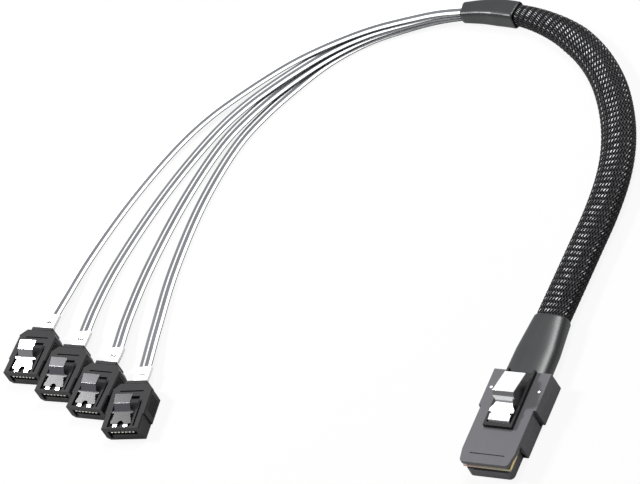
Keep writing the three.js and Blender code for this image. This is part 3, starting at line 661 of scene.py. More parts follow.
@dataclass(frozen=True)
class Paper(Finish):
    """The wrapped label: matt white film with a faint fibre."""

    fibre_per_mm: float = 4.0
    fibre_mm: float = 0.01
    shade: float = 0.93

    def surface(self, graph: Graph) -> Dict[str, object]:
        """Mottles the film slightly and lifts its fibre.

        Args:
            graph: the material's graph.

        Returns:
            The shader's sockets.
        """
        fibre = graph.noise(graph.place(), self.fibre_per_mm, 4.0)
        return {
            "Base Color": self.shaded(graph, fibre * 0.5, 1.0, self.shade),
            "Roughness": 0.55 + fibre * 0.1,
            "Normal": graph.bump(fibre, self.fibre_mm, 0.5),
        }


@dataclass(frozen=True)
class CircuitCard(Finish):
    """The card in the plug's nose: a resin edge, a lacquered face and gilt pads."""

    resin: Colour = (0.62, 0.6, 0.4)
    blush: Colour = (0.62, 0.44, 0.38)
    gilt: Colour = (0.8, 0.62, 0.28)
    half_width: float = 7.8 * MM
    pitch: float = 0.8 * MM
    pad_share: float = 0.31
    pad_front: float = -7.2 * MM
    pad_rear: float = -2.2 * MM
    tip: float = -7.4 * MM
    weave_per_mm: float = 6.0
    weave_mm: float = 0.01

    def surface(self, graph: Graph) -> Dict[str, object]:
        """Marks the pads by their pitch, the lacquer behind them and the resin at the tip.

        Args:
            graph: the material's graph.

        Returns:
            The shader's sockets.
        """
        x, y, z = graph.axes(graph.place())
        slope = (x / self.half_width) * 0.5 + 0.5
        resin = graph.mix(slope, self.blush, self.resin)
        lane = abs((x / self.pitch).math("FRACT") - 0.5)
        lane = abs(lane.math("WRAP", 0.5, -0.5))
        on_pad = (1.0 - lane.over(self.pad_share)) * y.over(self.pad_front) * (1.0 - y.over(self.pad_rear))
        weave = graph.noise(graph.stretched(graph.place(), (1.0, 0.3, 1.0)), self.weave_per_mm)
        face = graph.mix(on_pad, self.shaded(graph, weave, 1.0, 0.7), self.gilt)
        body = graph.mix(y.over(self.tip), resin, face)
        return {
            "Base Color": body,
            "Metallic": on_pad * 0.7,
            "Roughness": 0.32 + weave * 0.2,
            "Normal": graph.bump(weave, self.weave_mm, 0.5),
        }


@dataclass(frozen=True)
class Contacts(Finish):
    """Plated blades with the black bar that carries them behind the slot."""

    heading: Point = (0.0, 1.0, 0.0)
    bar_station: float = 0.0
    bar: Colour = (0.015, 0.015, 0.016)
    tarnish_per_mm: float = 3.0

    def surface(self, graph: Graph) -> Dict[str, object]:
        """Turns the metal into the bar's plastic behind a station along the connector.

        Args:
            graph: the material's graph.

        Returns:
            The shader's sockets.
        """
        place = graph.place()
        behind = graph.along(place, self.heading).over(self.bar_station)
        tarnish = graph.noise(place, self.tarnish_per_mm)
        metal = self.shaded(graph, tarnish * 0.4, 1.0, 0.75)
        return {
            "Base Color": graph.mix(behind, metal, self.bar),
            "Metallic": (1.0 - behind) * 0.3,
            "Roughness": 0.25 + tarnish * 0.15 + behind * 0.2,
        }


# The dark colour is the latch frame's own black plastic, and painted shade on the floor of the latch's
# well.
SHELL_PLASTIC = MouldedPlastic(
    "shell plastic", Slot.SHELL, linear(88, 88, 92), roughness=0.5, insert=linear(30, 30, 32)
)
HOUSING_PLASTIC = MouldedPlastic("connector plastic", Slot.CONNECTOR, linear(34, 34, 36), roughness=0.42)
TAIL_PLASTIC = MouldedPlastic("tail plastic", Slot.CONNECTOR, linear(30, 30, 32), roughness=0.48)
FILLER = MouldedPlastic("filler", Slot.FILLER, linear(46, 46, 48), roughness=0.6)
# The wide latch's two grey bands are painted shade at its fold.
WIDE_STEEL = SpringSteel(
    "wide latch steel", Slot.STEEL, linear(246, 247, 249),
    tones=(
        Tone(12.15 * MM, 12.4 * MM, linear(150, 150, 152)),
        Tone(13.1 * MM, 13.95 * MM, linear(120, 120, 122)),
    ),
)
# The fourth small latch: a grey band of painted shade at its fold.
BRIGHT_LATCH_FOLD_SHADE = (Tone(6.15 * MM, 7.9 * MM, linear(125, 125, 127)),)
# The other three small latches: painted dark reflections in black, grey and darker grey bands going back
# from the front.
DARK_LATCH_REFLECTIONS = (
    Tone(1.75 * MM, 6.1 * MM, linear(14, 14, 16)),
    Tone(6.1 * MM, 8.0 * MM, linear(84, 83, 90)),
    Tone(8.0 * MM, 11.5 * MM, linear(52, 52, 55)),
)
PIN_STEEL = SpringSteel("pin steel", Slot.STEEL, linear(245, 245, 246), roughness=0.3)
SHRINK_BLACK = HeatShrink("heat shrink", Slot.SHRINK, linear(33, 34, 36))
# The crest colours are painted highlights: bright on one family of strands, dim on the other, and faint on
# the ground tube.
BRAID_GROUND = Braid("braid ground", Slot.BRAID, linear(6, 6, 7), crest=linear(10, 10, 11))
BRAID_BRIGHT_HIGHLIGHT = Braid("strands with bright painted highlight", Slot.BRAID, linear(16, 16, 19), crest=linear(225, 226, 230))
BRAID_DIM_HIGHLIGHT = Braid("strands with dim painted highlight", Slot.BRAID, linear(13, 13, 15), crest=linear(46, 46, 50))
# The fourth ribbon is the same silver ribbon with fainter painted reflection bands.
SILVER_RIBBON = FoilRibbon("silver ribbon", Slot.RIBBON, linear(238, 239, 241))
FAINT_REFLECTION_RIBBON = FoilRibbon("ribbon with faint painted reflection", Slot.RIBBON, linear(244, 245, 246), first_share=0.12)
LABEL_FILM = Paper("label film", Slot.LABEL, linear(250, 250, 249))
LABEL_INK = Paper("label ink", Slot.LABEL, linear(26, 26, 30))
CARD = CircuitCard("circuit card", Slot.CARD, linear(150, 152, 96))


# Meshes


def new_piece(name: str, mesh: bpy.types.Mesh) -> bpy.types.Object:
    """Puts a mesh into the scene as a piece at the origin.

    Args:
        name: the piece's name.
        mesh: its mesh.

    Returns:
        The piece.
    """
    piece = bpy.data.objects.new(name, mesh)
    bpy.context.scene.collection.objects.link(piece)
    return piece


def grid_faces(rows: int, columns: int, close_rows: bool) -> np.ndarray:
    """The four-cornered faces between neighbouring points of a grid whose rows are rings.

    Args:
        rows: how many rows of points there are.
        columns: how many points there are in a row.
        close_rows: whether the last row joins the first.

    Returns:
        One line of four point numbers for each face.
    """
    i = np.arange(rows if close_rows else rows - 1)[:, None]
    j = np.arange(columns)[None, :]
    i2 = (i + 1) % rows
    j2 = (j + 1) % columns
    corners = [i * columns + j, i * columns + j2, i2 * columns + j2, i2 * columns + j]
    return np.stack(np.broadcast_arrays(*corners), -1).reshape(-1, 4)


def surface_piece(
    name: str,
    points: np.ndarray,
    faces: Sequence[Sequence[int]],
    attributes: Optional[Dict[str, np.ndarray]] = None,
) -> bpy.types.Object:
    """Makes a smooth-shaded piece from points and faces.

    Args:
        name: the piece's name.
        points: the points, one line each.
        faces: the faces' point numbers.
        attributes: numbers that the mesh holds at each point, by name.

    Returns:
        The piece.
    """
    mesh = bpy.data.meshes.new(name)
    mesh.from_pydata(points.reshape(-1, 3).tolist(), [], [list(map(int, face)) for face in faces])
    for key, values in (attributes or {}).items():
        made = mesh.attributes.new(key, "FLOAT", "POINT")
        made.data.foreach_set("value", np.asarray(values, np.float32).ravel())
    mesh.shade_smooth()
    mesh.update()
    return new_piece(name, mesh)


def squared_round(angle: np.ndarray, squareness: float) -> np.ndarray:
    """A flattened round outline of half-width and half-height 1.

    Across is cos(angle) and up is sin(angle), each to the power 2 / squareness with its sign kept.

    Args:
        angle: the angles in radians.
        squareness: 2 for an ellipse, more for a squarer form.

    Returns:
        The points as across and up.
    """
    pair = np.stack([np.cos(angle), np.sin(angle)], -1)
    return np.sign(pair) * np.abs(pair) ** (2 / squareness)


def even_outline(size: Pair, squareness: float, shares: np.ndarray) -> np.ndarray:
    """The squared round outline, read at even shares of its girth instead of at even angles.

    The outline is sampled finely, its running length is found, and the angle at each wanted share
    of the whole length is read from that.

    Args:
        size: the full width and height that the girth is measured at.
        squareness: the outline's squareness.
        shares: the shares of the girth, which may pass 1.

    Returns:
        The points of the outline at half-width and half-height 1.
    """
    angles = np.linspace(0, 2 * math.pi, 721)
    outline = squared_round(angles, squareness) * np.array(size) / 2
    steps = np.linalg.norm(np.diff(outline, axis=0), axis=1)
    run = np.concatenate([[0], np.cumsum(steps)])
    wanted = np.mod(shares, 1) * run[-1]
    return squared_round(np.interp(wanted, run, angles), squareness)


@dataclass(frozen=True)
class Lie:
    """A stretch of a cord's middle line with its frame at each station."""

    centre: np.ndarray
    ahead: np.ndarray
    left: np.ndarray
    lift: np.ndarray
    distance: np.ndarray

    def carry(self, section: np.ndarray) -> np.ndarray:
        """Carries a section along the line.

        Each point is the middle, plus the section's first value to the left and its second upwards.

        Args:
            section: stations by points by (left, up), or points by (left, up) for all stations.

        Returns:
            Stations by points by (x, y, z).
        """
        wide = np.broadcast_to(section, (len(self.centre), *section.shape[-2:]))
        return (
            self.centre[:, None, :]
            + wide[..., 0:1] * self.left[:, None, :]
            + wide[..., 1:2] * self.lift[:, None, :]
        )


class Route:
    """A smooth line through points: a centripetal spline, read by distance from its start."""

    HEADING_REACH = 0.25 * MM

    def __init__(self, points: Sequence[Sequence[float]], per_span: int = 40) -> None:
        """Samples the spline finely.

        Between two points the line is a cubic whose end slopes come from the chords to the points
        before and after, each weighted by the fourth root of its squared length. A point mirrored
        over each end stands for the missing neighbour.

        Args:
            points: the points that the line passes.
            per_span: how many samples each span gets.
        """
        inner = np.array(points, float)
        knots = np.vstack([2 * inner[0] - inner[1], inner, 2 * inner[-1] - inner[-2]])
        before, start, end, after = knots[:-3], knots[1:-2], knots[2:-1], knots[3:]
        weight = np.sqrt(np.linalg.norm(np.diff(knots, axis=0), axis=1))[:, None]
        w0, w1, w2 = weight[:-2], weight[1:-1], weight[2:]
        slope_in = ((start - before) / w0 - (end - before) / (w0 + w1) + (end - start) / w1) * w1
        slope_out = ((end - start) / w1 - (after - start) / (w1 + w2) + (after - end) / w2) * w1
        t = np.linspace(0, 1, per_span, endpoint=False)[None, :, None]
        c0, c1 = start[:, None], slope_in[:, None]
        c2 = (3 * (end - start) - 2 * slope_in - slope_out)[:, None]
        c3 = (2 * (start - end) + slope_in + slope_out)[:, None]
        spans = c0 + c1 * t + c2 * t**2 + c3 * t**3
        self.line = np.vstack([spans.reshape(-1, 3), inner[-1]])
        steps = np.linalg.norm(np.diff(self.line, axis=0), axis=1)
        self.run = np.concatenate([[0], np.cumsum(steps)])
        self.length = float(self.run[-1])

    def at(self, distance: np.ndarray) -> np.ndarray:
        """The points at distances from the start."""
        return np.stack([np.interp(distance, self.run, self.line[:, axis]) for axis in range(3)], -1)

    def lie(self, start: float, end: float, count: int) -> Lie:
        """A stretch of the route with level frames.

        Left is up crossed with the heading, and lift is the heading crossed with left, so that a
        flat section stays level.

        Args:
            start: the stretch's first distance.
            end: its last distance.
            count: how many stations it has.

        Returns:
            The stretch.
        """
        distance = np.linspace(start, end, count)
        centre = self.at(distance)
        after = np.minimum(distance + self.HEADING_REACH, self.length)
        before = np.maximum(distance - self.HEADING_REACH, 0)
        ahead = self.at(after) - self.at(before)
        ahead /= np.linalg.norm(ahead, axis=1)[:, None]
        left = np.cross(UP, ahead)
        left /= np.linalg.norm(left, axis=1)[:, None]
        return Lie(centre, ahead, left, np.cross(ahead, left), distance)


def bevelled_copy(node: str, name: str, width: float, segments: int = 2) -> bpy.types.Object:
    """A copy of a CAD node with its triangles merged into flat faces and its edges rounded.

    Args:
        node: the CAD node, which the copy replaces.
        name: the copy's name.
        width: the rounding's width in metres.
        segments: how many faces the rounding has.

    Returns:
        The copy.
    """
    mesh = frame["nodes"][node].data.copy()
    mesh.name = name
    form = bmesh.new()
    form.from_mesh(mesh)
    bmesh.ops.remove_doubles(form, verts=form.verts, dist=MERGE_DISTANCE)
    bmesh.ops.dissolve_limit(form, angle_limit=FLAT_ANGLE, verts=form.verts, edges=form.edges)
    form.to_mesh(mesh)
    form.free()
    mesh.shade_smooth()
    piece = new_piece(name, mesh)
    rounding = piece.modifiers.new("rounding", "BEVEL")
    rounding.width = width
    rounding.segments = segments
    rounding.limit_method = "ANGLE"
    rounding.angle_limit = ROUND_ANGLE
    rounding.use_clamp_overlap = True
    shading = piece.modifiers.new("shading", "WEIGHTED_NORMAL")
    shading.weight = FACE_WEIGHT
    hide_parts(node)
    return piece


def keep_on(piece: bpy.types.Object, body: str = ROOT_BODY) -> bpy.types.Object:
    """Makes a piece ride on a body and reports it.

    Args:
        piece: the piece.
        body: the CAD body.

    Returns:
        The same piece.
    """
    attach(piece, body)
    LOG.info("%s: %d faces, on %s", piece.name, len(piece.data.polygons), body)
    return piece


# Sub-assemblies


@dataclass
class PhotoCamera:
    """The photograph's view: where the camera stands, and its turn about its own line of sight."""

    azimuth: float = 47.09
    elevation: float = 43.48
    roll: float = -31.83
    distance: float = 1035.15 * MM
    shift_right: float = -49.97 * MM
    shift_up: float = 68.65 * MM
    origin_y: float = -8 * MM
    lens: float = 200.0
    sensor: float = 36.0

    def build(self) -> bpy.types.Object:
        """Makes the camera.

        Back is (sin a cos e, -cos a cos e, sin e) for the azimuth a and elevation e, right is
        (cos a, sin a, 0), and both right and up turn about back by the roll.

        Returns:
            The camera.
        """
        a, e, r = (math.radians(v) for v in (self.azimuth, self.elevation, self.roll))
        back = Vector((math.sin(a) * math.cos(e), -math.cos(a) * math.cos(e), math.sin(e)))
        level = Vector((math.cos(a), math.sin(a), 0.0))
        above = back.cross(level)
        right = math.cos(r) * level + math.sin(r) * above
        up = math.cos(r) * above - math.sin(r) * level
        eye = back * self.distance + right * self.shift_right + up * self.shift_up
        eye.y += self.origin_y
        data = bpy.data.cameras.new("photo camera")
        data.lens = self.lens
        data.sensor_width = self.sensor
        data.clip_end = 10.0
        camera = bpy.data.objects.new("photo camera", data)
        camera.matrix_world = Matrix.Translation(eye) @ Matrix((right, up, back)).transposed().to_4x4()
        bpy.context.scene.collection.objects.link(camera)
        bpy.context.scene.camera = camera
        return camera


@dataclass
class Lamp:
    """One soft lamp: where it hangs, what it faces, its size and its power."""

    name: str
    place: Point
    size: float
    power: float
    target: Point = (-0.08, 0.08, 0.0)

    def build(self) -> bpy.types.Object:
        """Makes the lamp and turns it to its target.

        Returns:
            The lamp.
        """
        data = bpy.data.lights.new(self.name, "AREA")
        data.shape = "DISK"
        data.size = self.size
        data.energy = self.power
        lamp = bpy.data.objects.new(self.name, data)
        lamp.location = self.place
        heading = Vector(self.target) - Vector(self.place)
        lamp.rotation_euler = heading.to_track_quat("-Z", "Y").to_euler()
        bpy.context.scene.collection.objects.link(lamp)
        return lamp


@dataclass
class Studio:
    """A pale floor and backdrop in one, soft lamps and an even surrounding light."""

    floor_reach: float = 3.0
    floor_drop: float = 0.05 * MM
    floor_colour: Colour = (0.55, 0.55, 0.55)
    floor_share: float = 0.9
    fill: float = 0.25
    mirrored: float = 0.45
    lamps: Tuple[Lamp, ...] = (
        Lamp("key lamp", (-0.75, 0.05, 0.7), 0.18, 11.0),
        Lamp("top lamp", (-0.03, 0.5, 0.95), 0.4, 9.0),
    )

    def build(self) -> None:
        """Makes the floor, the lamps and the world."""
        self._floor()
        self._world()
        for lamp in self.lamps:
            lamp.build()
        bpy.context.scene.view_settings.view_transform = "Standard"

    def _seen(self, graph: Graph) -> Signal:
        """How much the backdrop glows: fully to the camera, less in a reflection, and not as light."""
        path = graph.node("ShaderNodeLightPath").outputs
        return Signal(graph, path["Is Camera Ray"]) + Signal(graph, path["Is Glossy Ray"]) * self.mirrored

    def _floor(self) -> None:
        """Lays a level square that holds the object's shadow and is white to the eye."""
        reach = self.floor_reach
        corners = np.array([[-1, -1, 0], [1, -1, 0], [1, 1, 0], [-1, 1, 0]], float) * reach
        corners[:, 2] = -self.floor_drop
        floor = surface_piece("floor", corners, [[0, 1, 2, 3]])
        made = bpy.data.materials.new("pale floor")
        made.use_nodes = True
        graph = Graph(made.node_tree)
        ground = graph.signal("ShaderNodeBsdfDiffuse", inputs={"Color": (*self.floor_colour, 1.0)})
        glow = graph.signal("ShaderNodeEmission", inputs={"Color": (1.0, 1.0, 1.0, 1.0), "Strength": 1.0})
        share = self._seen(graph) * self.floor_share
        mixed = graph.signal("ShaderNodeMixShader", inputs={0: share, 1: ground, 2: glow})
        graph.node("ShaderNodeOutputMaterial", inputs={"Surface": mixed})
        floor.data.materials.append(made)

    def _world(self) -> None:
        """Surrounds the scene with even light, white where it is seen or mirrored."""
        world = bpy.data.worlds.new("surroundings")
        bpy.context.scene.world = world
        world.use_nodes = True
        graph = Graph(world.node_tree)
        strength = self.fill + self._seen(graph) * (1.0 - self.fill)
        inputs = {"Color": (1.0, 1.0, 1.0, 1.0), "Strength": strength}
        shade = graph.signal("ShaderNodeBackground", inputs=inputs)
        graph.node("ShaderNodeOutputWorld", inputs={"Surface": shade})


@dataclass
class Trunk:
    """The cord's first part: the boot, the braided sleeve and the breakout, round one route."""

    points: Sequence[Point] = (
        (0, 22.9, 3.6), (0, 29, 3.6), (0, 35, 3.55), (0, 47, 3.4), (0.1, 60, 3.1), (0.3, 74, 3),
        (0.5, 88, 3), (-0.4, 101, 3), (-2.3, 110.8, 3), (-5.2, 119.6, 3), (-9.6, 129, 3),
        (-15.1, 137.9, 3), (-21.7, 145.8, 3), (-28.9, 152.3, 3.05), (-37, 157.7, 3.15),
        (-45.6, 161.7, 3.25), (-54, 164.3, 3.35), (-62, 165.6, 3.43), (-70.5, 166, 3.45),
        (-79, 165.3, 3.45),
    )
    ribbon: Pair = (4.4 * MM, 0.8 * MM)
    stack_pitch: float = 1.0 * MM
    lanes: int = 4
    play: float = 0.2 * MM
    tube_sides: int = 12
    squareness: float = 3.0
    shrink_squareness: float = 5.0
    sleeve_size: Pair = (10.7 * MM, 5.4 * MM)
    sleeve_wall: float = 0.3 * MM
    sleeve_halfway: float = 0.92
    sleeve_narrows: float = 60.0 * MM
    tuck: float = 4.0 * MM
    boot_size: Pair = (15.0 * MM, 5.6 * MM)
    boot_kink_width: float = 14.5 * MM
    boot_kink: float = 12.0 * MM
    boot_length: float = 24.4 * MM
    boot_wall: float = 0.3 * MM
    shrink_wall: float = 0.32 * MM
    shrink_length: float = 20.6 * MM
    girth_share: float = 0.86
    strands: int = 28
    turn_length: float = 62.0 * MM
    strand_width: float = 0.8 * MM
    strand_thickness: float = 0.2 * MM
    strand_sway: float = 0.11 * MM
    strand_margin: float = 1.0 * MM
    samples_per_crossing: int = 3
    shrink_counts: Tuple[int, int] = (60, 96)
    ground_counts: Tuple[int, int] = (150, 64)
    sleeve_cord_length: float = 0.148
    route: Route = field(init=False)

    def __post_init__(self) -> None:
        """Works out the route and the stations that the pieces share."""
        self.route = Route(np.array(self.points) * MM)
        self.shrink_start = self.route.length - self.shrink_length
        self.sleeve_start = self.boot_length - self.tuck
        self.sleeve_end = self.shrink_start + self.tuck
        stack = np.array([self.ribbon[0], (self.lanes - 1) * self.stack_pitch + self.ribbon[1]])
        self.narrow_sleeve = self._bore(stack, self.squareness) + 2 * self.sleeve_wall
        self.shrink_end = self._bore(stack, self.shrink_squareness) + 2 * self.shrink_wall

    def _bore(self, size: np.ndarray, squareness: float) -> np.ndarray:
        """The smallest squared round bore about a rectangle.

        The rectangle's corner lies on the outline when each side grows by 2 to the power one over
        the squareness, and a little more makes room for the flat sides of the solid.

        Args:
            size: the rectangle's width and height.
            squareness: the bore's squareness.

        Returns:
            The bore's width and height.
        """
        return size * 2 ** (1 / squareness) / math.cos(math.pi / self.tube_sides)

    @staticmethod
    def _sizes(
        distance: np.ndarray, stations: Sequence[float], sizes: Sequence[Sequence[float]]
    ) -> np.ndarray:
        """Widths and heights between given ones.

        Args:
            distance: where they are wanted.
            stations: the distances of the given ones.
            sizes: the width and height at each station.

        Returns:
            One line of width and height for each distance.
        """
        table = np.array(sizes, float)
        return np.stack([np.interp(distance, stations, table[:, i]) for i in range(2)], -1)

    def sleeve_sizes(self, distance: np.ndarray) -> np.ndarray:
        """The sleeve's width and height: full in the open, narrowing to the ribbons' stack.

        Args:
            distance: where they are wanted.

        Returns:
            One line of width and height for each distance.
        """
        narrows = self.sleeve_end - self.sleeve_narrows
        halfway_there = self.sleeve_end - self.sleeve_narrows / 2
        stations = [self.sleeve_start, narrows, halfway_there, self.shrink_start, self.sleeve_end]
        halfway = (self.sleeve_size[0] * self.sleeve_halfway, self.sleeve_size[1])
        sizes = [self.sleeve_size, self.sleeve_size, halfway, self.narrow_sleeve, self.narrow_sleeve]
        return self._sizes(distance, stations, sizes)

    def _tube(
        self,
        name: str,
        node: str,
        finish: Finish,
        stretch: Pair,
        sizes: Callable[[np.ndarray], np.ndarray],
        wall: float,
        squareness: float,
        counts: Tuple[int, int],
    ) -> bpy.types.Object:
        """Makes and dresses a hollow tube with rounded mouths, which replaces a CAD node.

        The section runs along the outside, round the mouth and back along the inside. Over the
        last wall's thickness at each end, the outside draws in by half the wall times
        1 - sqrt(1 - t^2), where t goes from 0 to 1 towards the end.

        Args:
            name: the piece's name.
            node: the CAD node.
            finish: the tube's finish.
            stretch: the tube's first and last distance on the route.
            sizes: gives the outer width and height at each distance.
            wall: the wall's thickness.
            squareness: the section's squareness.
            counts: how many stations and how many points round it has.

        Returns:
            The piece.
        """
        along, around = counts
        lie = self.route.lie(*stretch, along)
        reach = np.minimum(lie.distance - stretch[0], stretch[1] - lie.distance)
        lip = np.clip(1 - reach / wall, 0, 1)
        inset = wall / 2 * (1 - np.sqrt(1 - lip**2))
        outer = sizes(lie.distance) / 2
        outline = even_outline(self.boot_size, squareness, np.arange(around) / around)
        body = lie.carry(outline * (outer - inset[:, None])[:, None, :])
        inner = lie.carry(outline * (outer - wall)[:, None, :])
        points = np.concatenate([body, inner[::-1]])
        faces = grid_faces(len(points), around, True)[:, ::-1]
        piece = surface_piece(name, points, faces)
        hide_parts(node)
        return keep_on(finish.dress(piece))

    def _strands(self, name: str, family: Family, start: float, end: float) -> bpy.types.Object:
        """Weaves one direction of the sleeve's strands.

        A strand winds round the sleeve at an even rate. Its height above the ground tube sways as a
        cosine of the crossings it has passed, up for one family where it is down for the other.
        Across itself a strand is a low arch with a flat underside.

        Args:
            name: the piece's name.
            family: the winding direction.
            start: the first distance on the route.
            end: the last distance.

        Returns:
            The piece.
        """
        crossing = self.turn_length / (2 * self.strands)
        count = int((end - start) / crossing * self.samples_per_crossing)
        lie = self.route.lie(start, end, count)
        sizes = self.sleeve_sizes(lie.distance)
        girth = 2 * (self.sleeve_size[0] + self.sleeve_size[1]) * self.girth_share
        side = np.array([-1.0, -0.45, 0.45, 1.0, 0.0])
        rise = np.array([0.0, 0.9, 0.9, 0.0, -0.5])
        phase = math.pi * (lie.distance - start) / crossing
        sway = family.value * np.cos(phase) * self.strand_sway
        turn = family.value * (lie.distance - start) / self.turn_length
        origin = np.arange(self.strands) / self.strands
        half_width = self.strand_width / 2 / girth
        share = origin[:, None, None] + turn[None, :, None] + side[None, None, :] * half_width
        outline = even_outline(self.sleeve_size, self.squareness, share)
        height = sway[None, :, None] + (rise * self.strand_thickness)[None, None, :] - self.strand_sway
        reach = sizes[None, :, None, :] / 2 + height[..., None]
        flat = outline * reach
        points = (
            lie.centre[None, :, None, :]
            + flat[..., 0:1] * lie.left[None, :, None, :]
            + flat[..., 1:2] * lie.lift[None, :, None, :]
        )
        per_strand = count * len(side)
        one = grid_faces(count, len(side), False)
        ends = np.arange(len(side))
        faces = [one + k * per_strand for k in range(self.strands)]
        quads = np.concatenate(faces)[:, ::-1]
        caps = [list(ends + k * per_strand) for k in range(self.strands)]
        caps += [list((ends + (k + 1) * per_strand - len(side))[::-1]) for k in range(self.strands)]
        crest = np.broadcast_to((family.value * np.cos(phase))[None, :, None], share.shape)
        sides = np.broadcast_to(side[None, None, :], share.shape)
        attributes = {"crest": crest, "side": sides, "around": np.mod(share, 1)}
        return surface_piece(name, points, [*quads.tolist(), *caps], attributes)

    def build(self) -> None:
        """Makes and dresses the boot, the sleeve with its strands, and the breakout."""
        mouth = np.array(self.sleeve_size) + 2 * (self.boot_wall + self.play)
        boot_stations = [0, self.boot_kink, self.boot_length]
        boot_sizes = [self.boot_size, (self.boot_kink_width, self.boot_size[1]), mouth]
        boot = self._tube(
            "boot", "plug_boot", SHRINK_BLACK, (0.0, self.boot_length),
            lambda d: self._sizes(d, boot_stations, boot_sizes),
            self.boot_wall, self.squareness, self.shrink_counts,
        )
        under_strands = 2 * (self.strand_sway + self.strand_thickness / 2)
        ground = self._tube(
            "sleeve_ground", "braided_sleeve", BRAID_GROUND, (self.sleeve_start, self.sleeve_end),
            lambda d: self.sleeve_sizes(d) - under_strands,
            self.sleeve_wall / 2, self.squareness, self.ground_counts,
        )
        shrink_stations = [self.shrink_start, self.shrink_start + 2 * self.tuck, self.route.length]
        shrink_sizes = [self._shrink_mouth(), self._shrink_mouth(), self.shrink_end]
        shrink = self._tube(
            "breakout", "breakout_shrink", SHRINK_BLACK, (self.shrink_start, self.route.length),
            lambda d: self._sizes(d, shrink_stations, shrink_sizes),
            self.shrink_wall, self.shrink_squareness, self.shrink_counts,
        )
        reach = (self.sleeve_start + self.strand_margin, self.sleeve_end - self.strand_margin)
        # One family of strands carries a bright painted highlight, the other a dim one.
        keep_on(BRAID_BRIGHT_HIGHLIGHT.dress(self._strands("sleeve_strands_right", Family.RIGHT, *reach)))
        keep_on(BRAID_DIM_HIGHLIGHT.dress(self._strands("sleeve_strands_left", Family.LEFT, *reach)))
        lie = self.route.lie(self.sleeve_start, self.sleeve_end, self.ground_counts[0])
        tuple(self.route.at(np.array([self.sleeve_start]))[0])

    def _shrink_mouth(self) -> np.ndarray:
        """The breakout's size where it takes in the sleeve, with room for it and the wall."""
        share = 1 - 2 * self.shrink_wall / self.shrink_end
        return (self.narrow_sleeve + 2 * self.play) / share


@dataclass
class Lane:
    """One ribbon's run: its points after the trunk, where its connector lies, and its whole length."""

    number: int
    points: Sequence[Point]
    front: Pair
    turn: float
    length: float
    # The latch's painted bands of reflection and shade.
    tones: Tuple[Tone, ...] = DARK_LATCH_REFLECTIONS

    def place(self, along: float, height: float) -> np.ndarray:
        """A point on the connector's middle line.

        Args:
            along: millimetres behind the connector's front face.
            height: millimetres above the plane.

        Returns:
            The point in the row frame, in millimetres.
        """
        t = math.radians(self.turn)
        return np.array([self.front[0] - along * math.sin(t), self.front[1] + along * math.cos(t), height])


LANES = (
    Lane(1, (
        (-88, 163.6, 1.6), (-96.9, 160.7, 1.15), (-111.6, 153.7, 0.7), (-122.6, 144.1, 0.6),
        (-131.6, 131, 0.6), (-138, 119, 0.6), (-142, 107.5, 0.6), (-144.4, 84, 0.6),
        (-142.4, 55, 0.7), (-137.2, 30.5, 1.7),
    ), (-129.1, -9.9), 8.4, 0.41),
    Lane(2, (
        (-88, 163.8, 2.6), (-96.6, 161.2, 2.2), (-111.5, 154.5, 1.75), (-123.3, 145.1, 1.62),
        (-135.9, 129.9, 1.6), (-142.6, 118.4, 1.6), (-147.3, 106.5, 1.5), (-151.5, 83.4, 0.7),
        (-152, 54, 0.8), (-149.2, 32.5, 2.2),
    ), (-145.9, -4.1), 1.0, 0.41),
    Lane(3, (
        (-88, 164, 3.6), (-96.2, 161.5, 3.2), (-111.3, 155.4, 2.77), (-124.2, 146.4, 2.65),
        (-140.2, 128.8, 2.6), (-148.2, 117.5, 2.1), (-154, 106, 1.2), (-160.8, 82.7, 0.6),
        (-164.6, 54, 0.8), (-163.6, 36, 2.1),
    ), (-160.7, 0.8), 2.3, 0.41),
    Lane(4, (
        (-88, 164.2, 4.6), (-95.9, 162.2, 4.23), (-111.3, 156.7, 3.8), (-125.7, 148.2, 3.66),
        (-136.5, 140, 3.3), (-149.9, 127, 2.2), (-158.2, 117, 1.5), (-164.8, 105, 1),
        (-172.4, 81.8, 0.6), (-176.8, 57, 0.8), (-177, 40, 2.2),
    ), (-175.8, 6.1), 2.3, 0.41, BRIGHT_LATCH_FOLD_SHADE),
)


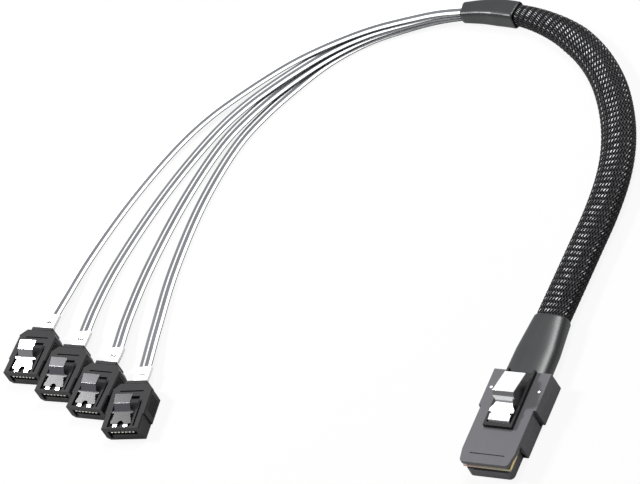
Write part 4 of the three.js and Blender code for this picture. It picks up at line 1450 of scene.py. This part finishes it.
@dataclass
class Ribbon:
    """One flat twin cable from the card to its connector, with its wrapped label."""

    lane: Lane
    trunk: Trunk
    width: float = 4.4 * MM
    thickness: float = 0.8 * MM
    valley: float = 0.5 * MM
    valley_share: float = 0.13
    lobe_swell: float = 0.14
    point_spread: float = 0.7
    section_points: int = 40
    pair_gap: float = 0.6 * MM
    card_middle: float = 4.4
    card_rise: float = 1.1
    card_stations: Sequence[float] = (6.6, 9.9, 13.05, 16.2)
    lay_stations: Sequence[float] = (0, 8, 16.5, 108, 122, 150)
    lay_across: Sequence[Sequence[float]] = (
        (1, 1, -1, -1), (1, 1, -1, -1), (0, 1, -1, 0), (0, 1, -1, 0), (0, 1, -1, 0), (0, 0, 0, 0),
    )
    lay_up: Sequence[Sequence[float]] = (
        (-1.2, 1.2, -1.2, 1.2), (-1.1, 0, 0, 1.1), (-1, 0, 0, 1),
        (-1, 0, 0, 1), (-1.5, -0.5, 0.5, 1.5), (-1.5, -0.5, 0.5, 1.5),
    )
    trunk_stations: int = 27
    trunk_start: float = 2
    exit_height: float = 3.2
    exit_stations: Sequence[float] = (23.5, 18.5, 14.15, 9.5)
    label_length: float = 6.0 * MM
    label_end: float = 9.7 * MM
    label_room: float = 0.2 * MM
    label_wall: float = 0.15 * MM
    label_stations: int = 12
    label_points: int = 48
    label_squareness: float = 7.0
    number_station: float = 0.55
    number_size: float = 2.9 * MM
    number_depth: float = 0.03 * MM
    number_rise: float = 0.05 * MM
    stations: int = 420

    def _lays(self) -> Tuple[np.ndarray, np.ndarray]:
        """How far the ribbon lies to the right of the trunk's middle line, and above it.

        Returns:
            The steps to the right and up at each lay station, in millimetres.
        """
        half = (self.width + self.pair_gap) / 2 / MM
        index = self.lane.number - 1
        return np.array(self.lay_across)[:, index] * half, np.array(self.lay_up)[:, index]

    def _route(self) -> Route:
        """The whole middle line: on the card, through the trunk, in the open and into the connector.

        In the trunk each point is the trunk's own, moved right and up by its lay.

        Returns:
            The route, in metres.
        """
        right, up = self._lays()
        level = self.card_middle + math.copysign(self.card_rise, up[0])
        on_card = np.array([[right[0], y, level] for y in self.card_stations])
        distance = np.linspace(self.trunk_start, self.trunk.route.length / MM, self.trunk_stations)
        lie = self.trunk.route.lie(self.trunk_start * MM, self.trunk.route.length, self.trunk_stations)
        aside = np.interp(distance, self.lay_stations, right)[:, None]
        above = np.interp(distance, self.lay_stations, up)[:, None]
        in_trunk = lie.centre / MM - lie.left * aside + UP * above
        into = np.array([self.lane.place(y, self.exit_height) for y in self.exit_stations])
        return Route(np.vstack([on_card, in_trunk, self.lane.points, into]) * MM)

    def _section(self) -> np.ndarray:
        """The ribbon's outline: two round-topped lobes with a shallow valley between them.

        Over the half-width u from -1 to 1 the half-height is an end arc, the square root of
        1 - u^4, times the lobes' level, which dips to the valley as a narrow bell at u = 0 and
        swells a little over each pair.

        Returns:
            The outline as (left, up), in metres.
        """
        angle = np.linspace(0, 2 * math.pi, self.section_points, endpoint=False)
        u = np.sign(np.cos(angle)) * np.abs(np.cos(angle)) ** self.point_spread
        end_arc = np.clip(1 - u**4, 0, None) ** 0.5
        swell = 1 - self.lobe_swell + self.lobe_swell * np.sin(math.pi * np.abs(u)) ** 2
        dip = (1 - self.valley / self.thickness) * np.exp(-((u / self.valley_share) ** 2))
        height = end_arc * (swell - dip) * self.thickness / 2
        return np.stack([u * self.width / 2, np.sign(np.sin(angle)) * height], -1)

    def build(self) -> None:
        route = self._route()
        section = self._section()
        lie = route.lie(0, route.length, self.stations)
        points = lie.carry(section)
        count = len(section)
        faces = grid_faces(self.stations, count, False)[:, ::-1].tolist()
        faces.append(list(range(count)))
        faces.append(list(range(count * self.stations - 1, count * (self.stations - 1) - 1, -1)))
        across = np.tile(-section[:, 0] / (self.width / 2), self.stations)
        along = np.repeat(lie.distance, count)
        name = f"flat_ribbon_{self.lane.number}"
        ribbon = surface_piece(name, points, faces, {"across": across, "along": along})
        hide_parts(f"ribbon_{self.lane.number}")
        # The last lane's ribbon gets fainter painted reflection bands.
        finish = FAINT_REFLECTION_RIBBON if self.lane.number == self.trunk.lanes else SILVER_RIBBON
        keep_on(finish.dress(ribbon))
        label, digit = self._label(route)
        LOG.info("%s: %.4f m from end to end", name, route.length)

    def _label(self, route: Route) -> Tuple[bpy.types.Object, bpy.types.Object]:
        """Wraps the label round the ribbon and sets its number on it.

        The wrap is a thin band with round corners, closed along the outside, round each rim and
        back along the inside.

        Args:
            route: the ribbon's middle line.

        Returns:
            The label and its number.
        """
        end = route.length - self.label_end
        lie = route.lie(end - self.label_length, end, self.label_stations)
        outer = np.array([self.width / 2, self.thickness / 2]) + self.label_room + self.label_wall
        shares = np.arange(self.label_points) / self.label_points
        outline = even_outline(tuple(outer * 2), self.label_squareness, shares)
        outside = lie.carry(outline * outer)
        inside = lie.carry(outline * (outer - self.label_wall))
        points = np.concatenate([outside, inside[::-1]])
        faces = grid_faces(len(points), self.label_points, True)[:, ::-1]
        label = surface_piece(f"wrap_label_{self.lane.number}", points, faces)
        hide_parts(f"label_{self.lane.number}")
        keep_on(LABEL_FILM.dress(label))
        digit = self._digit(lie, outer[1])
        return label, digit

    def _digit(self, lie: Lie, height: float) -> bpy.types.Object:
        """Sets the lane's number on the label, read towards the connector.

        Each point of the flat number goes to the station that its first value says, and from the
        middle line there to the left by its second value and up by its third, the label's
        half-height and a small rise, so that the number bends with the label.

        Args:
            lie: the label's stretch of the route.
            height: the label's half-height.

        Returns:
            The number, as a thin solid.
        """
        curve = bpy.data.curves.new(f"number_{self.lane.number}", "FONT")
        curve.body = str(self.lane.number)
        curve.size = self.number_size
        curve.extrude = self.number_depth
        curve.align_x = "CENTER"
        curve.align_y = "CENTER"
        text = bpy.data.objects.new("text", curve)
        bpy.context.scene.collection.objects.link(text)
        bpy.context.view_layer.update()
        mesh = bpy.data.meshes.new_from_object(text)
        bpy.data.objects.remove(text)
        flat = np.zeros(len(mesh.vertices) * 3, np.float32)
        mesh.vertices.foreach_get("co", flat)
        flat = flat.reshape(-1, 3)
        middle = lie.distance[0] + self.number_station * (lie.distance[-1] - lie.distance[0])
        station = middle + flat[:, 0]
        frames = [
            np.stack([np.interp(station, lie.distance, part[:, axis]) for axis in range(3)], -1)
            for part in (lie.centre, lie.left, lie.lift)
        ]
        rise = flat[:, 2:3] + height + self.number_rise
        placed = frames[0] + frames[1] * flat[:, 1:2] + frames[2] * rise
        mesh.vertices.foreach_set("co", placed.astype(np.float32).ravel())
        mesh.update()
        digit = new_piece(f"label_number_{self.lane.number}", mesh)
        return keep_on(LABEL_INK.dress(digit))


@dataclass
class WidePlug:
    """The wide plug: two shells, the card, the filler, two pins and the latch."""

    shell_rounding: float = 0.14 * MM
    latch_rounding: float = 0.07 * MM
    latch_body: str = "wide_latch"

    def build(self) -> None:
        """Rounds the shells and the latch, and dresses what keeps its solid."""
        for side in ("upper", "lower"):
            shell = bevelled_copy(f"plug_{side}_shell", f"{side}_shell", self.shell_rounding)
            keep_on(SHELL_PLASTIC.dress(shell))
        latch = bevelled_copy("plug_latch", "wide_latch_strip", self.latch_rounding, 3)
        keep_on(WIDE_STEEL.dress(latch), self.latch_body)
        for node, finish in (
            ("paddle_card", CARD), ("wire_block", FILLER),
            ("plug_pin_left", PIN_STEEL), ("plug_pin_right", PIN_STEEL),
        ):
            finish.dress(frame["nodes"][node])
            LOG.info("%s keeps its solid", node)


@dataclass
class DriveConnector:
    """One small connector: its housing, contacts, tail and latch."""

    lane: Lane
    housing_rounding: float = 0.1 * MM
    latch_rounding: float = 0.06 * MM
    bar_depth: float = 5.9

    def build(self) -> None:
        """Rounds the housing, the tail and the latch, and dresses the contacts."""
        number = self.lane.number
        turn = math.radians(self.lane.turn)
        heading = self.lane.place(1, 0) - self.lane.place(0, 0)
        housing = bevelled_copy(f"drive_housing_{number}", f"housing_{number}", self.housing_rounding)
        keep_on(HOUSING_PLASTIC.dress(housing))
        tail = bevelled_copy(f"drive_tail_{number}", f"tail_{number}", self.housing_rounding)
        keep_on(TAIL_PLASTIC.dress(tail))
        # The latch steel takes the lane's painted bands of reflection and shade.
        steel = SpringSteel(
            f"small latch steel {number}", Slot.STEEL, linear(246, 247, 249), turn=turn,
            heading=tuple(heading), front=float(self.lane.place(0, 0) @ heading) * MM,
            tones=self.lane.tones,
        )
        latch = bevelled_copy(f"drive_latch_{number}", f"small_latch_strip_{number}", self.latch_rounding)
        keep_on(steel.dress(latch), f"small_latch_{number}")
        station = float(self.lane.place(self.bar_depth, 0) @ heading) * MM
        metal = Contacts(
            f"contact metal {number}", Slot.CONTACTS, linear(255, 253, 246),
            heading=tuple(heading), bar_station=station,
        )
        metal.dress(frame["nodes"][f"drive_contacts_{number}"])
        LOG.info("connector %d is dressed", number)


def main() -> None:
    """Builds the view, the cords and the connectors, in that order, and the studio last."""
    logging.basicConfig(level=logging.INFO, format="%(name)s: %(message)s")
    PhotoCamera().build()
    trunk = Trunk()
    trunk.build()
    for lane in LANES:
        Ribbon(lane, trunk).build()
    WidePlug().build()
    for lane in LANES:
        DriveConnector(lane).build()
    Studio().build()


if __name__ == "__main__":
    main()
